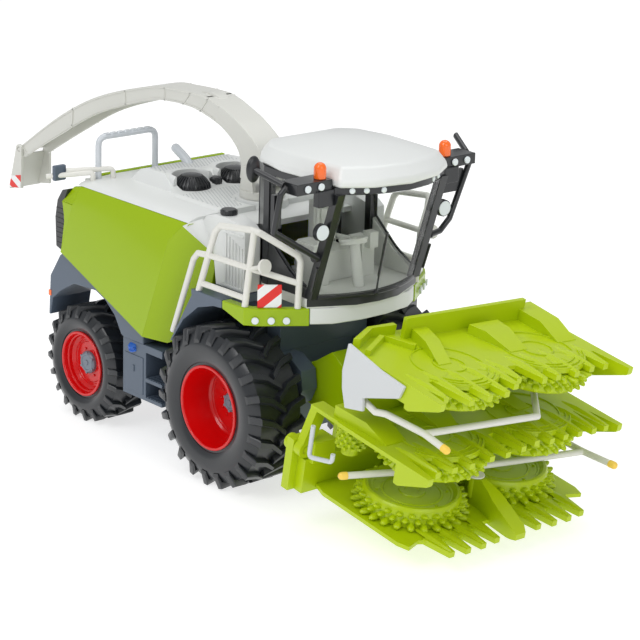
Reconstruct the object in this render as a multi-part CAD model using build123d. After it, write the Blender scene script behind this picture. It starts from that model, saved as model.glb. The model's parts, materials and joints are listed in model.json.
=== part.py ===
from build123d import *
import os
from math import cos, pi, radians, sin

# A toy forage harvester, in millimetres. The toy stands on z = 0 and drives towards +X.
# Every x below is measured from the front axle; +Y is the left side of the vehicle.
# FRONT_AXLE_X puts the finished toy over the origin.
FRONT_AXLE_X = 62.0
FIT = 0.3

# Wheels
WHEELBASE = 171.4
FRONT_TYRE_R = 60.25
FRONT_TYRE_W = 48.0
FRONT_TYRE_Y = 70.0
FRONT_RIM_R = 31.5
FRONT_DISH = 24.0
REAR_TYRE_R = 45.9
REAR_TYRE_W = 36.0
REAR_TYRE_Y = 64.8
REAR_RIM_R = 25.5
REAR_DISH = 9.0
RIM_BARREL = 5.0
RIM_WALL = 2.2
RIM_EDGE = 1.5
WEB_T = 3.0
HUB_R = 6.5
HUB_H = 4.0
# Lugs: how many each side has, and on the front tyre their height, how far their flat top
# lies inside the tread circle, the shoulder and the wall drop
FRONT_LUGS = 22
REAR_LUGS = 20
LUG_H = 4.2
LUG_SAG = 0.76
SHOULDER = 6.0
WALL_DROP = 11.0
# One lug in plan on the front tyre: share of the half width outwards, millimetres round the tread
LUG_PLAN = ((1.0, 9.5), (-0.06, -4.5), (-0.06, -9.5), (1.0, 3.0))

# Axles and steering
AXLE_R = 3.0
AXLE_BLOCK_X = 12.0
AXLE_BLOCK_H = 9.0
KNUCKLE_INSET = 11.0
KING_PIN_R = 3.5
KING_PIN_H = 12.0
FORK_H = 11.0
FORK_T = 8.0
BEAM_H = 5.0

# Chassis and hitch
REAR_X = -WHEELBASE
CHASSIS_Y = 42.0
REAR_CHASSIS_Y = 28.0
CHASSIS_Z0 = 34.0
CHASSIS_Z1 = 98.0
CHASSIS_REAR = 33.6
NARROW_TO = 54.4
SADDLE_Y = 43.7
SADDLE_T = 6.0
HITCH_Z = 62.0
HITCH_T = 3.0
HITCH_GAP = 6.0
HITCH_HALF = 8.0
HITCH_REACH = 17.0
HITCH_BORE_R = 2.6
ENGINE_Y = 34.0
ENGINE_TOP_Z = 172.0

# Body
PANEL_Y = 85.0
PANEL_T = 3.5
PANEL_CREASE_Z = 172.0
FENDER_IN_Y = 44.0
FRONT_FENDER_Y = 88.0
FRONT_FENDER_TOP_Z = 143.0
LOCKER_Y = 80.0
LOCKER_GAP = 52.9
LOCKER_FRONT = 9.75
STEP_SHARE = 0.59
LOCKER_Z0 = 38.0
LOCKER_TOP_Z = 82.0
STEP_DEPTH = 28.0

# Hood
HOOD_REAR_X = -178.0
HOOD_FRONT_X = -42.0
HOOD_EDGE_Z = 186.5
HOOD_EDGE_Y = 79.0
HOOD_RISE = 4.5
HUMP_RISE = 10.0
HUMP_Y = 45.0
INTAKE_R = 14.5
INTAKE_H = 13.0
INTAKE_X = -112.0
INTAKE_Y = 21.0
HOUSING_Y = 67.0
CAP_X = -20.0
CAP_R = 5.5
CAP_H = 4.0

# Cab
CAB_FLOOR_Z = 143.0
CAB_SILL_Z = 150.0
CAB_EAVE_Z = 231.0
CAB_Y = 52.0
ROOF_EDGE_Z = 236.0
ROOF_LIP = 5.0
ROOF_RISE = 19.0
ROOF_CROWN = 0.55
POST = 6.5
GLASS = 2.0
LIGHT_Y = 84.0
BEACON_R = 4.4
ARM_R = 2.2
LAMP_R = 2.6
LAMP_T = 1.5
SPOT_R = 5.5
SPOT_T = 4.0
RAIL_R = 2.4
MID_RAIL_R = 2.2
HOOP_R = 2.4

# Spout: the chute is drawn about its lift pin
SPOUT_AXIS_X = -54.0
SPOUT_HALF = 12.5
SPOUT_WALL = 2.0
TURRET_R = 17.0
RING_RISE = 2.0
TURRET_H = 5.7
SPOUT_PIN_RISE = 14.0
SPOUT_PIN_R = 2.0
FLAP_PIN_X = -351.5
FLAP_PIN_DROP = 41.5
FLAP_PIN_R = 1.8
FLAP_HALF = 15.0
FLAP_EAR_R = 4.0

# Header: the folded stack leans forward by HEADER_TILT about the comb tips of the lowest layer.
HEADER_TILT = 9.0
COMB_X = 234.6
COMB_Z = 19.0
HINGE_Y = 95.0
RIGHT_FOLD_H = 23.5
RIGHT_FOLD_ROLL = 0.0
LEFT_FOLD_H = 45.5
LEFT_FOLD_ROLL = 3.5
PLATE_H = -8.0
PLATE_T = 3.0
FINGER_T = 4.2
# Fingers by section: sideways place and how far forward the tip reaches
CENTRE_FINGERS = (
    (-62.3, -6.5), (-48.5, -5.0), (-34.2, -5.0), (-20.0, -6.5),
    (20.0, -6.5), (34.2, -5.0), (48.5, -5.0), (62.3, -6.5),
)
LEFT_FINGERS = (
    (-75, -23), (-61, -23), (-43, -20), (-25, -20.5), (-11, -20), (8, -26),
    (17, -19.5), (33, -12), (50, -11), (68, -9.8), (83, -19),
)
RIGHT_FINGERS = (
    (-77.5, -17), (-62, -17), (-47, -16), (-27, -17.5), (-12.4, -17), (4, -18.5),
    (18.6, -20.5), (31, -18), (44.5, -18), (57.5, -17), (70, -15.5), (81.5, -15),
)
FINGER_BASE = 6.0
FINGER_TIP = 2.3
CENTRE_ROOT_U = -30.0
WING_ROOT_U = -46.0
DISC_U = -72.0
DISC_Y = 42.2
DISC_H = 14.5
DISC_CORE_R = 35.0
DISC_CAP_R = 33.5
DISC_BOWL_R = 21.0
DISC_BOWL_H = 4.0
TEETH = 26
# Rows of teeth on a disc: height of the row, radius at the tips, radius at the roots, thickness
TOOTH_ROWS = ((0.6, 42.0, 37.5, 3.0), (4.6, 39.5, 36.0, 2.4), (7.8, 39.0, 34.5, 3.0))
CENTRE_HALF = 86.0
SECTION_REAR_U = -125.7
WING_REAR_U = -118.0
WING_SHIFT = 12.0
WING_OUT = 94.5
WING_IN = 91.0
SNOUT_HALF = 4.5
SNOUT_H = 17.0
SKIRT_H = 14.0
RIB_H = 4.0
DRUM_U = -100.0
DRUM_Y = 80.0
DRUM_R = 11.0
DRUM_ROOT_R = 8.4
DRUM_STUB_R = 6.0
DRUM_TEETH = 11
DRUM_ROWS = 5
DRUM_ROW_STEP = 3.1
DRUM_ROW_T = 1.9
WALL_U = -108.0
WALL_T = 3.5
WALL_H = 15.0
HINGE_U0 = 134.0
HINGE_R = 6.0
HINGE_PIN_R = 2.5
HINGE_LUG = 7.0
GUARD_R = 2.4
GUARD_H = 22.8
SHIELD_T = 2.5
LIFT_PIN_X = 36.0
LIFT_PIN_Z = 76.0
LIFT_PIN_R = 4.0
FEEDER_Y = 27.0
FEEDER_R = 15.0
FRAME_U = -141.0
ADAPTER_Y = 40.0
ADAPTER_H = 40.0


def across(side, near, far):
    """The lower and higher y of a span from near to far on one side."""
    return sorted((side * near, side * far))


def block(x0, x1, y0, y1, z0, z1):
    return Pos((x0 + x1) / 2, (y0 + y1) / 2, (z0 + z1) / 2) * Box(x1 - x0, y1 - y0, z1 - z0)


def plate_xz(points, y0, y1):
    """A plate with its outline in x and z, from y0 to y1."""
    face = make_face(Polyline(*[(x, y0, z) for x, z in points], close=True))
    return extrude(face, amount=y1 - y0, dir=(0, 1, 0))


def plate_xy(points, z0, z1):
    face = make_face(Polyline(*[(x, y, z0) for x, y in points], close=True))
    return extrude(face, amount=z1 - z0, dir=(0, 0, 1))


def plate_yz(points, x0, x1):
    face = make_face(Polyline(*[(x0, y, z) for y, z in points], close=True))
    return extrude(face, amount=x1 - x0, dir=(1, 0, 0))


def sheet(points, thickness):
    """A flat panel through points in space, thickened inwards along y."""
    return extrude(make_face(Polyline(*points, close=True)), amount=thickness, dir=(0, -1, 0))


def rod(a, b, r):
    """A round rod from point a to point b."""
    a, b = Vector(*a), Vector(*b)
    along = Plane(origin=a, z_dir=b - a)
    return along * Cylinder(r, (b - a).length, align=(Align.CENTER, Align.CENTER, Align.MIN))


def tube(points, r):
    """Round rods through the points, with a ball at each bend."""
    shape = rod(points[0], points[1], r)
    for a, b in zip(points[1:], points[2:]):
        shape = shape + Pos(*a) * Sphere(r) + rod(a, b, r)
    return shape


def disc(x, y, z, r, h, axis=(0, 0, 1)):
    along = Plane(origin=(x, y, z), z_dir=axis)
    return along * Cylinder(r, h, align=(Align.CENTER, Align.CENTER, Align.MIN))


def turned(profile):
    """A body of revolution about Z: profile holds (radius, height)."""
    return revolve(make_face(Polyline(*[(r, 0, h) for r, h in profile], close=True)), axis=Axis.Z)


def toothed(teeth, tip_r, root_r, h0, thickness):
    """A flat ring of blunt teeth about Z, filled to its middle."""
    step = 2 * pi / teeth
    points = []
    for tooth in range(teeth):
        for share, r in ((-0.34, root_r), (-0.14, tip_r), (0.14, tip_r), (0.34, root_r)):
            angle = (tooth + share) * step
            points.append((r * cos(angle), r * sin(angle)))
    return plate_xy(points, h0, h0 + thickness)


def on_axle(shape, x, y, z, side):
    """Turn a piece drawn about Z, its outer face up, onto its axle."""
    return Pos(x, y, z) * Rot(-90 * side, 0, 0) * shape


def mirrored(shape):
    return mirror(shape, about=Plane.XZ)


def both(shape):
    return Compound([*shape.solids(), *mirrored(shape).solids()])


def joined(*shapes):
    result = shapes[0]
    for shape in shapes[1:]:
        result = result + shape
    return result


written = {}


def write(name, shape):
    """Move a piece from axle coordinates to the origin and write it."""
    os.makedirs("parts", exist_ok=True)
    placed = Pos(FRONT_AXLE_X, 0, 0) * shape
    solids = placed.solids()
    export_step(Compound(solids) if len(solids) > 1 else solids[0], f"parts/{name}.step")
    written[name] = placed


def in_header(shape):
    """Place a piece drawn in the level header frame, where u runs forward and h up from the comb tips."""
    return Pos(COMB_X, 0, COMB_Z) * Rot(0, HEADER_TILT, 0) * shape


# Wheels
def tyre(r, width, rim_r, lug_count):
    """A left tyre about Z, its outer face up: a plain carcass and two staggered rows of slanting lugs."""
    half = width / 2
    k = r / FRONT_TYRE_R
    wall_r = r - WALL_DROP * k
    pitch = 360 / lug_count
    rings = (
        (wall_r, -half), (r - LUG_H * k, -half + SHOULDER * k),
        (r - LUG_H * k, half - SHOULDER * k), (wall_r, half),
    )
    carcass = loft([Pos(0, 0, w) * RegularPolygon(ring_r, lug_count) for ring_r, w in rings], ruled=True)
    bore = Pos(0, 0, -half - 1) * RegularPolygon(rim_r, lug_count, major_radius=False)
    carcass = Rot(0, 0, pitch / 4) * (carcass - extrude(bore, amount=width + 2))
    base_r = wall_r - k
    top_r = r - LUG_SAG * k
    plan = [(base_r, -t * k, share * half) for share, t in LUG_PLAN]
    lug = extrude(make_face(Polyline(*plan, close=True)), amount=r - base_r, dir=(1, 0, 0))
    sides = [
        (base_r, -half), (top_r, -half), (top_r, half - 4 * k),
        (wall_r + 2 * k, half - 0.3), (base_r, half - 0.3),
    ]
    lug = lug & plate_xz(sides, -LUG_H * 3, LUG_H * 3)
    other = Rot(0, 0, pitch / 2) * mirror(lug, about=Plane.XY)
    lugs = []
    for step in range(lug_count):
        turn = Rot(0, 0, step * pitch)
        lugs += [*(turn * lug).solids(), *(turn * other).solids()]
    return carcass.fuse(*lugs)


def rim(width, rim_r, dish):
    """A dished rim about Z with its hub; the axle enters from inboard."""
    half = width / 2
    outer = half - RIM_EDGE
    face = outer - dish
    profile = [
        (0, face - 1),
        (AXLE_R + FIT, face - 1),
        (AXLE_R + FIT, face - 1 - WEB_T),
        (rim_r - RIM_BARREL, face - 1 - WEB_T),
        (rim_r - RIM_BARREL, RIM_BARREL - 3 - half),
        (rim_r, RIM_BARREL - 3 - half),
        (rim_r, outer),
        (rim_r - RIM_WALL, outer),
        (rim_r - RIM_WALL, outer - 2),
        (rim_r - RIM_WALL - 1.5, outer - 3),
        (rim_r - RIM_BARREL, face + 1.5),
        (rim_r - RIM_BARREL - 3, face),
        (HUB_R, face),
        (HUB_R, face + HUB_H - 1),
        (HUB_R - 1, face + HUB_H),
        (0, face + HUB_H),
    ]
    return turned(profile)


def wheels():
    sizes = (
        ("front", 0, FRONT_TYRE_Y, FRONT_TYRE_R, FRONT_TYRE_W, FRONT_RIM_R, FRONT_DISH, FRONT_LUGS),
        ("rear", REAR_X, REAR_TYRE_Y, REAR_TYRE_R, REAR_TYRE_W, REAR_RIM_R, REAR_DISH, REAR_LUGS),
    )
    for end, x, y, r, width, rim_r, dish, lug_count in sizes:
        left_tyre = on_axle(tyre(r, width, rim_r, lug_count), x, y, r, 1)
        left_rim = on_axle(rim(width, rim_r, dish), x, y, r, 1)
        for label, made in (("tyre", left_tyre), ("rim", left_rim)):
            write(f"{end}_{label}_left", made)
            write(f"{end}_{label}_right", mirrored(made))


def axles():
    front_face = FRONT_TYRE_Y + FRONT_TYRE_W / 2 - RIM_EDGE - FRONT_DISH - 1 - FIT
    front = disc(0, -front_face, FRONT_TYRE_R, AXLE_R, 2 * front_face, (0, 1, 0))
    low, high = FRONT_TYRE_R - AXLE_BLOCK_H, FRONT_TYRE_R + AXLE_BLOCK_H
    write("front_axle", front + block(-AXLE_BLOCK_X, AXLE_BLOCK_X, -CHASSIS_Y, CHASSIS_Y, low, high))
    king_y = REAR_TYRE_Y - KNUCKLE_INSET
    beam_y = king_y - FORK_T + 2
    beam = block(REAR_X - 5, REAR_X + 5, -beam_y, beam_y, REAR_TYRE_R - BEAM_H, REAR_TYRE_R + BEAM_H)
    half_pin = KING_PIN_H / 2 + FIT
    for side in (-1, 1):
        y0, y1 = across(side, king_y - FORK_T, king_y)
        beam = beam + block(REAR_X - 4, REAR_X + 4, y0, y1, REAR_TYRE_R - FORK_H, REAR_TYRE_R + FORK_H)
        y0, y1 = across(side, king_y - KING_PIN_R - 1.5, king_y + FORK_T + 1)
        beam = beam - block(REAR_X - 9, REAR_X + 9, y0, y1, REAR_TYRE_R - half_pin, REAR_TYRE_R + half_pin)
    write("rear_axle_beam", beam)
    rear_face = REAR_TYRE_Y + REAR_TYRE_W / 2 - RIM_EDGE - REAR_DISH - 1 - FIT
    for label, side in (("left", 1), ("right", -1)):
        stub = disc(REAR_X, side * king_y, REAR_TYRE_R, AXLE_R, rear_face - king_y, (0, side, 0))
        pin = disc(REAR_X, side * king_y, REAR_TYRE_R - KING_PIN_H / 2, KING_PIN_R, KING_PIN_H)
        write(f"steer_knuckle_{label}", stub + pin)


def chassis():
    front_x = 20.0
    narrow_x = REAR_X + NARROW_TO
    rear_x = REAR_X - CHASSIS_REAR
    core = block(narrow_x - 1, front_x, -CHASSIS_Y, CHASSIS_Y, CHASSIS_Z0, CHASSIS_Z1)
    rear_z0 = REAR_TYRE_R + BEAM_H
    core = core + block(rear_x, narrow_x, -REAR_CHASSIS_Y, REAR_CHASSIS_Y, rear_z0, CHASSIS_Z1)
    core = core + block(rear_x, -60, -SADDLE_Y, SADDLE_Y, CHASSIS_Z1 - 1, CHASSIS_Z1 + SADDLE_T)
    room = AXLE_BLOCK_H + FIT
    slot_x = AXLE_BLOCK_X + FIT
    core = core - block(
        -slot_x, slot_x, -CHASSIS_Y - 1, CHASSIS_Y + 1, FRONT_TYRE_R - room, FRONT_TYRE_R + room
    )
    for side in (-1, 1):
        y0, y1 = across(side, FEEDER_Y + 1, CHASSIS_Y)
        outline = [
            (18, 58), (40, 64), (46, LIFT_PIN_Z), (44, 90), (30, CHASSIS_Z1), (18, CHASSIS_Z1),
        ]
        core = core + plate_xz(outline, y0, y1)
    pin_hole = disc(LIFT_PIN_X, -CHASSIS_Y - 1, LIFT_PIN_Z, LIFT_PIN_R + FIT, 2 * CHASSIS_Y + 2, (0, 1, 0))
    core = core - pin_hole
    for z in (HITCH_Z, HITCH_Z + HITCH_GAP + HITCH_T):
        tongue = block(rear_x - HITCH_REACH, rear_x + 1, -HITCH_HALF, HITCH_HALF, z, z + HITCH_T)
        tongue = tongue + disc(rear_x - HITCH_REACH, 0, z, HITCH_HALF, HITCH_T)
        core = core + (tongue - disc(rear_x - HITCH_REACH, 0, z - 1, HITCH_BORE_R, HITCH_T + 2))
    write("chassis", core)
    write("cab_base", block(-30, front_x, -CHASSIS_Y, CHASSIS_Y, CHASSIS_Z1, CAB_FLOOR_Z - FIT))
    write("engine_block", block(-150, -70, -ENGINE_Y, ENGINE_Y, CHASSIS_Z1 + SADDLE_T, ENGINE_TOP_Z))


def fenders():
    fender_y = PANEL_Y - PANEL_T - FIT
    # The rear arch is drawn about the rear axle
    arch = [
        (-42.6, 76), (-40.6, 108), (-27.6, 127), (-21.8, 130.8), (79.4, 90.9), (79.4, 82.3), (55.4, 82),
        (51.9, 83), (43.4, 96), (31.4, 105), (18.8, 109.6), (-9.6, 108), (-26.6, 98.6), (-37.6, 90),
        (-40.6, 76),
    ]
    rear = plate_xz([(REAR_X + x, z) for x, z in arch], FENDER_IN_Y, fender_y)
    write("rear_fenders", both(rear))
    rear_x = REAR_X + LOCKER_GAP
    front_x = -FRONT_TYRE_R - LOCKER_FRONT
    step_x = rear_x + STEP_SHARE * (front_x - rear_x)
    step_y = LOCKER_Y - STEP_DEPTH
    locker = block(rear_x, front_x, CHASSIS_Y, LOCKER_Y, LOCKER_Z0, LOCKER_TOP_Z)
    for low, high in ((56, 76), (41, 53)):
        locker = locker - block(step_x, front_x + 1, step_y, LOCKER_Y + 1, low, high)
    write("side_lockers", both(locker))
    top = FRONT_FENDER_TOP_Z
    front = [
        (-50.5, 97.5), (-24, top - 2), (9, top), (9, 137),
        (0, 136.4), (-18, 131), (-35, 117.5), (-48.5, 98.5),
    ]
    deck = block(-26, 9, FENDER_IN_Y + 2, FRONT_FENDER_Y, top - 4, top)
    write("front_fenders", both(plate_xz(front, FENDER_IN_Y + 2, FRONT_FENDER_Y) + deck))


def facet_y(x, z):
    """How far out the turned-in front face of a side panel lies."""
    return PANEL_Y - 0.5034 * (x + 57) + 0.1951 * (z - PANEL_CREASE_Z)


def panels():
    crease = PANEL_CREASE_Z
    side = [(-193, 131.5), (-177, crease), (-57, crease), (-88.3, 90)]
    main = sheet([(x, PANEL_Y, z) for x, z in side], PANEL_T)
    bevel = [
        (-177, PANEL_Y, crease), (-174, HOOD_EDGE_Y, HOOD_EDGE_Z),
        (-39.6, HOOD_EDGE_Y, HOOD_EDGE_Z), (-57, PANEL_Y, crease),
    ]
    front = [
        (-88.3, 90), (-57, crease), (-45, 184.5), (-29.2, 170),
        (-26, 157), (-31, 138), (-52, 99), (-70, 88),
    ]
    shown = joined(
        main,
        sheet(bevel, PANEL_T),
        sheet([(x, facet_y(x, z), z) for x, z in front], PANEL_T + 1),
    )
    write("side_panels", both(shown))
    y_in = PANEL_Y - PANEL_T - FIT
    rear = plate_xz(
        [
            (-194, 110), (-193, 131.5), (-177, 175), (-177, HOOD_EDGE_Z),
            (-173, HOOD_EDGE_Z), (-173, 175), (-189, 131.5), (-190, 110),
        ],
        -y_in,
        y_in,
    )
    top_y = HOOD_EDGE_Y - PANEL_T - FIT
    trim = [(y_in, 105), (y_in, crease), (top_y, HOOD_EDGE_Z)]
    trim = trim + [(-y, z) for y, z in reversed(trim)]
    low_z = CHASSIS_Z1 + SADDLE_T + 1
    narrow = block(-200, -170, -SADDLE_Y, SADDLE_Y, low_z, 133)
    narrow = narrow + block(-200, -170, -PANEL_Y, PANEL_Y, 132.3, 190)
    write("rear_panel", rear & plate_yz(trim, -200, -170) & narrow)


def hood():
    edge = HOOD_EDGE_Z + FIT
    top = HOOD_EDGE_Z + HOOD_RISE
    half = [
        (HUMP_Y, top), (HOOD_EDGE_Y - 10, edge + 3.2),
        (HOOD_EDGE_Y - 3, edge + 1.6), (HOOD_EDGE_Y, edge),
    ]
    section = [(-y, z) for y, z in reversed(half)] + half
    shell = plate_yz(section, HOOD_REAR_X, HOOD_FRONT_X)
    hump_z = top + HUMP_RISE
    along = [(-158, top - 1), (-152, hump_z - 2), (-146, hump_z), (-122, hump_z), (-104, top - 1)]
    sides = [
        (-HUMP_Y, top - 1), (-HUMP_Y + 7, hump_z), (HUMP_Y - 7, hump_z), (HUMP_Y, top - 1),
    ]
    shell = shell + (plate_xz(along, -HUMP_Y, HUMP_Y) & plate_yz(sides, -160, -100))
    for side in (-1, 1):
        shell = shell - disc(INTAKE_X, side * INTAKE_Y, top - 3, INTAKE_R + FIT, 30)
    shell = shell - disc(SPOUT_AXIS_X, 0, edge - 10, TURRET_R + 3 + FIT, 40)
    ring = disc(SPOUT_AXIS_X, 0, HOOD_EDGE_Z - 5, TURRET_R + 3, HOOD_RISE + RING_RISE + 5)
    deck = block(HOOD_FRONT_X - 8, -12 - FIT, -CAB_Y, CAB_Y, HOOD_EDGE_Z - 4, edge)
    write("hood_top", shell + deck + ring)
    dome = turned([
        (0, 0), (INTAKE_R, 0), (INTAKE_R, 4), (INTAKE_R - 1, 7), (INTAKE_R - 4, 10.4),
        (INTAKE_R - 8, 12.3), (0, INTAKE_H),
    ])
    write("air_intakes", both(Pos(INTAKE_X, INTAKE_Y, top - 3) * dome))
    low_z = FRONT_FENDER_TOP_Z + 0.5
    side = [
        (-41, HOOD_EDGE_Z), (-36, 192), (-26, 195), (-10, 195.5), (2, 193),
        (8, 189), (8, low_z), (-24, low_z), (-26, 157), (-29, 172),
    ]
    housing = plate_xz(side, CAB_Y + FIT, HOUSING_Y)
    cap = disc(CAP_X, -59, 195, CAP_R, CAP_H)
    write("side_housings", Compound([*(housing).solids(), *(mirrored(housing) + cap).solids()]))


def cab():
    plan = [(-12, -38), (10, -CAB_Y), (60, -CAB_Y), (76, -20), (78, 0)]
    write("cab_floor", plate_xy(plan + [(x, -y) for x, y in reversed(plan[:-1])], CAB_FLOOR_Z, CAB_SILL_Z))
    eave = [(-12, -38), (10, -CAB_Y), (86, -CAB_Y), (102, -22), (105, 0)]
    inside = [(-8, -34), (12, -CAB_Y + 5), (82, -CAB_Y + 5), (97, -20), (100, 0)]
    eave = eave + [(x, -y) for x, y in reversed(eave[:-1])]
    inside = inside + [(x, -y) for x, y in reversed(inside[:-1])]
    frame = plate_xy(eave, CAB_EAVE_Z, ROOF_EDGE_Z) - plate_xy(inside, CAB_EAVE_Z - 1, ROOF_EDGE_Z + 1)
    for side in (-1, 1):
        y0, y1 = across(side, CAB_Y - POST, CAB_Y)
        lean = [(57, CAB_SILL_Z), (64, CAB_SILL_Z), (90, CAB_EAVE_Z), (83, CAB_EAVE_Z)]
        frame = frame + plate_xz(lean, y0, y1)
        frame = frame + block(10, 16, y0, y1, CAB_SILL_Z, CAB_EAVE_Z)
        y0, y1 = across(side, 32, 38)
        frame = frame + block(-12, -7, y0, y1, CAB_SILL_Z, CAB_EAVE_Z)
    write("cab_frame", frame)
    outline = [(-15, -34), (0, -48), (30, -54), (90, -51), (103, -30), (109, 0)]
    outline = outline + [(x, -y) for x, y in reversed(outline[:-1])]
    lower = plate_xy(outline, ROOF_EDGE_Z, ROOF_EDGE_Z + ROOF_LIP)
    middle = [(45 + (x - 45) * 0.9, y * 0.9) for x, y in outline]
    crown = [(45 + (x - 45) * ROOF_CROWN, y * ROOF_CROWN) for x, y in outline]
    layers = (
        (outline, ROOF_LIP), (middle, ROOF_LIP + 0.6 * (ROOF_RISE - ROOF_LIP)), (crown, ROOF_RISE),
    )
    faces = []
    for points, rise in layers:
        faces.append(make_face(Polyline(*[(x, y, ROOF_EDGE_Z + rise) for x, y in points], close=True)))
    write("cab_roof", lower + loft(faces, ruled=True))
    rims = []
    for z, x in ((CAB_SILL_Z, 64.5), (CAB_EAVE_Z, 90.5)):
        y, bow = CAB_Y - POST - FIT, 13.5
        outer = ThreePointArc((x, -y, z), (x + bow, 0, z), (x, y, z))
        inner = ThreePointArc((x - GLASS, y, z), (x + bow - GLASS, 0, z), (x - GLASS, -y, z))
        ends = (Line((x, y, z), (x - GLASS, y, z)), Line((x - GLASS, -y, z), (x, -y, z)))
        rims.append(make_face(Wire([outer, ends[0], inner, ends[1]])))
    write("windshield", loft(rims))
    window = [(16.3, 185), (40, 166), (56.5, 157), (59, 157), (82.5, CAB_EAVE_Z), (16.3, CAB_EAVE_Z)]
    write("side_windows", both(plate_xz(window, CAB_Y - 4, CAB_Y - 2)))
    door = [
        (16.3, CAB_SILL_Z), (56.5, CAB_SILL_Z), (58.7, 156.7),
        (56.3, 156.7), (39.8, 165.7), (16.3, 184.7),
    ]
    write("door_lowers", both(plate_xz(door, CAB_Y - 4.5, CAB_Y)))
    back = block(-12, -9, -31.7, 31.7, CAB_SILL_Z, 178)
    corner = [(-10.5, 38.4), (-8, 38.4), (9.7, CAB_Y - 2.6), (9.7, CAB_Y - 0.4)]
    quarter = plate_xy(corner, CAB_SILL_Z, CAB_EAVE_Z)
    write("cab_rear_walls", Compound([back, *both(quarter).solids()]))
    seat = block(12, 36, -12, 12, CAB_SILL_Z, 172) + block(12, 18, -11, 11, 172, 206)
    seat = seat + block(13, 17, -6, 6, 206, 215)
    column = rod((57, 0, CAB_SILL_Z - 5), (50, 0, 180), 4)
    column = column - block(40, 70, -9, 9, CAB_SILL_Z - 12, CAB_SILL_Z)
    column = column + disc(49, 0, 180, 10, 2.5, (-0.2, 0, 1))
    console = block(20, 42, -30, -16, CAB_SILL_Z, 180) + block(40, 46, -27, -19, 176, 188)
    write("cab_interior", Compound([*seat.solids(), *column.solids(), *console.solids()]))


def lights():
    box = block(66, 84, CAB_Y + FIT, LIGHT_Y, ROOF_EDGE_Z - 2, ROOF_EDGE_Z + 6)
    box = box + block(80, 86, CAB_Y + FIT, 66, 223.5, ROOF_EDGE_Z - 1)
    write("light_boxes", both(box))
    z = ROOF_EDGE_Z + 6 + FIT / 2
    beacon = disc(78, 58.8, z, BEACON_R, 7) + Pos(78, 58.8, z + 7) * Sphere(BEACON_R)
    write("beacons", both(beacon))
    head = Pos(50, -95, 248) * scale(Sphere(1), by=(2.5, 6, 9.5))
    arm_y = LIGHT_Y + ARM_R
    foot_y = CAB_Y + 1.6
    right = tube([(74, -arm_y, 238), (73, -89.5, 234), (70, -92, 207), (72, -foot_y, 183)], ARM_R)
    right = right + block(66, 69.5, -92, -85.5, 209, 233)
    right = right + tube([(72, -arm_y, 240), (50, -95, 248)], ARM_R) + head
    bends = [(74, arm_y, 238), (73, 89.5, 234), (71, 73, 192), (71, 64, 184), (72, foot_y, 183)]
    left = tube(bends, ARM_R)
    left = left + block(69, 72, 64, 84, 212, 228)
    left = left + tube([(72, arm_y, 240), (50, 95, 248)], ARM_R) + mirrored(head)
    write("mirror_arms", Compound([*right.solids(), *left.solids()]))
    lamps = []
    for side in (-1, 1):
        for y in (63, 75):
            lamps.append(disc(84.1, side * y, 238, LAMP_R, LAMP_T, (1, 0, 0)))
        for x, y in ((39.5, 82.1), (46.4, 73.1), (52.6, 64.2)):
            lamps.append(disc(x, side * y, 134.5, LAMP_R, LAMP_T, (0.82, side * 0.57, 0)))
        lamps.append(disc(78, side * (CAB_Y + FIT + SPOT_R), 204, SPOT_R, SPOT_T, (1, 0, 0)))
    write("lamps", Compound(lamps))
    foot_z = CAB_FLOOR_Z + FIT / 2
    plate = plate_xy([(38.6, 79.5), (48.6, 65.6), (47.4, 64.8), (37.4, 78.7)], foot_z, 160)
    write("warning_plates", both(plate))


def front_end():
    bumper = [(61, -50), (70, -36), (74, -12), (74, 12), (70, 36), (61, 50), (57, 47), (66, 34), (70, 11)]
    bumper = bumper + [(70, -11), (66, -34), (57, -47)]
    write("front_bumper", plate_xy(bumper, 131, CAB_FLOOR_Z))
    corner = [(9.3, 88), (33, 87), (41, 80), (61.5, 50.5), (56.5, 47.5), (37, 74), (30, 80), (9.3, 80)]
    under = [(9, 137), (32, 130), (62, 130), (62, CAB_FLOOR_Z), (9, CAB_FLOOR_Z)]
    write("corner_panels", both(plate_xy(corner, 130, CAB_FLOOR_Z) & plate_xz(under, 40, 90)))
    deck_z = FRONT_FENDER_TOP_Z - 2
    frame = [
        (-21, 85.5, deck_z), (-6.5, 85.5, 180), (-2, 85.5, 191), (3, 85, 196), (36, 84, 200),
        (42, 81.5, 199), (57, 58.5, 182), (58, 57, 178), (55, 56.4, deck_z),
    ]
    rails = tube(frame, RAIL_R)
    rails = rails + tube([(30, 84, deck_z), (38.5, 83.5, 199.5)], RAIL_R)
    rails = rails + tube([(-10, 85.5, 171.5), (35, 84, 172), (56.7, 57, 161.5)], MID_RAIL_R)
    rails = rails + tube([(-19, 85.5, 149), (30, 84, 149)], MID_RAIL_R)
    handrail = [(-10, 85.5, 171.5), (-21, 86, 170.5), (-26, 86, 165), (-49.4, 86, 105)]
    rails = rails + tube(handrail, MID_RAIL_R)
    rails = rails + rod((36, 84, 172), (45, 80, 175), 1.5) + rod((45, 80, 175), (47.5, 80, 175.4), 5.2)
    feet = block(-30, 65, 40, 95, deck_z - RAIL_R, FRONT_FENDER_TOP_Z + FIT / 6)
    write("railings", both(rails - feet))
    top = HOOD_EDGE_Z + HOOD_RISE
    hoop = [(-175, -62, top - 0.5), (-175, -62, 216), (-175, -56, 222), (-175, -14, 222), (-175, -8, 216)]
    hoop = tube(hoop + [(-175, -8, top + 0.2)], HOOP_R)
    handle = tube([(-172, -67.2, top - 0.7), (-172, -67.2, 193.5), (-191, -67.2, 193.5)], RAIL_R)
    write("hood_rails", Compound([*hoop.solids(), *handle.solids()]))


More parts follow.
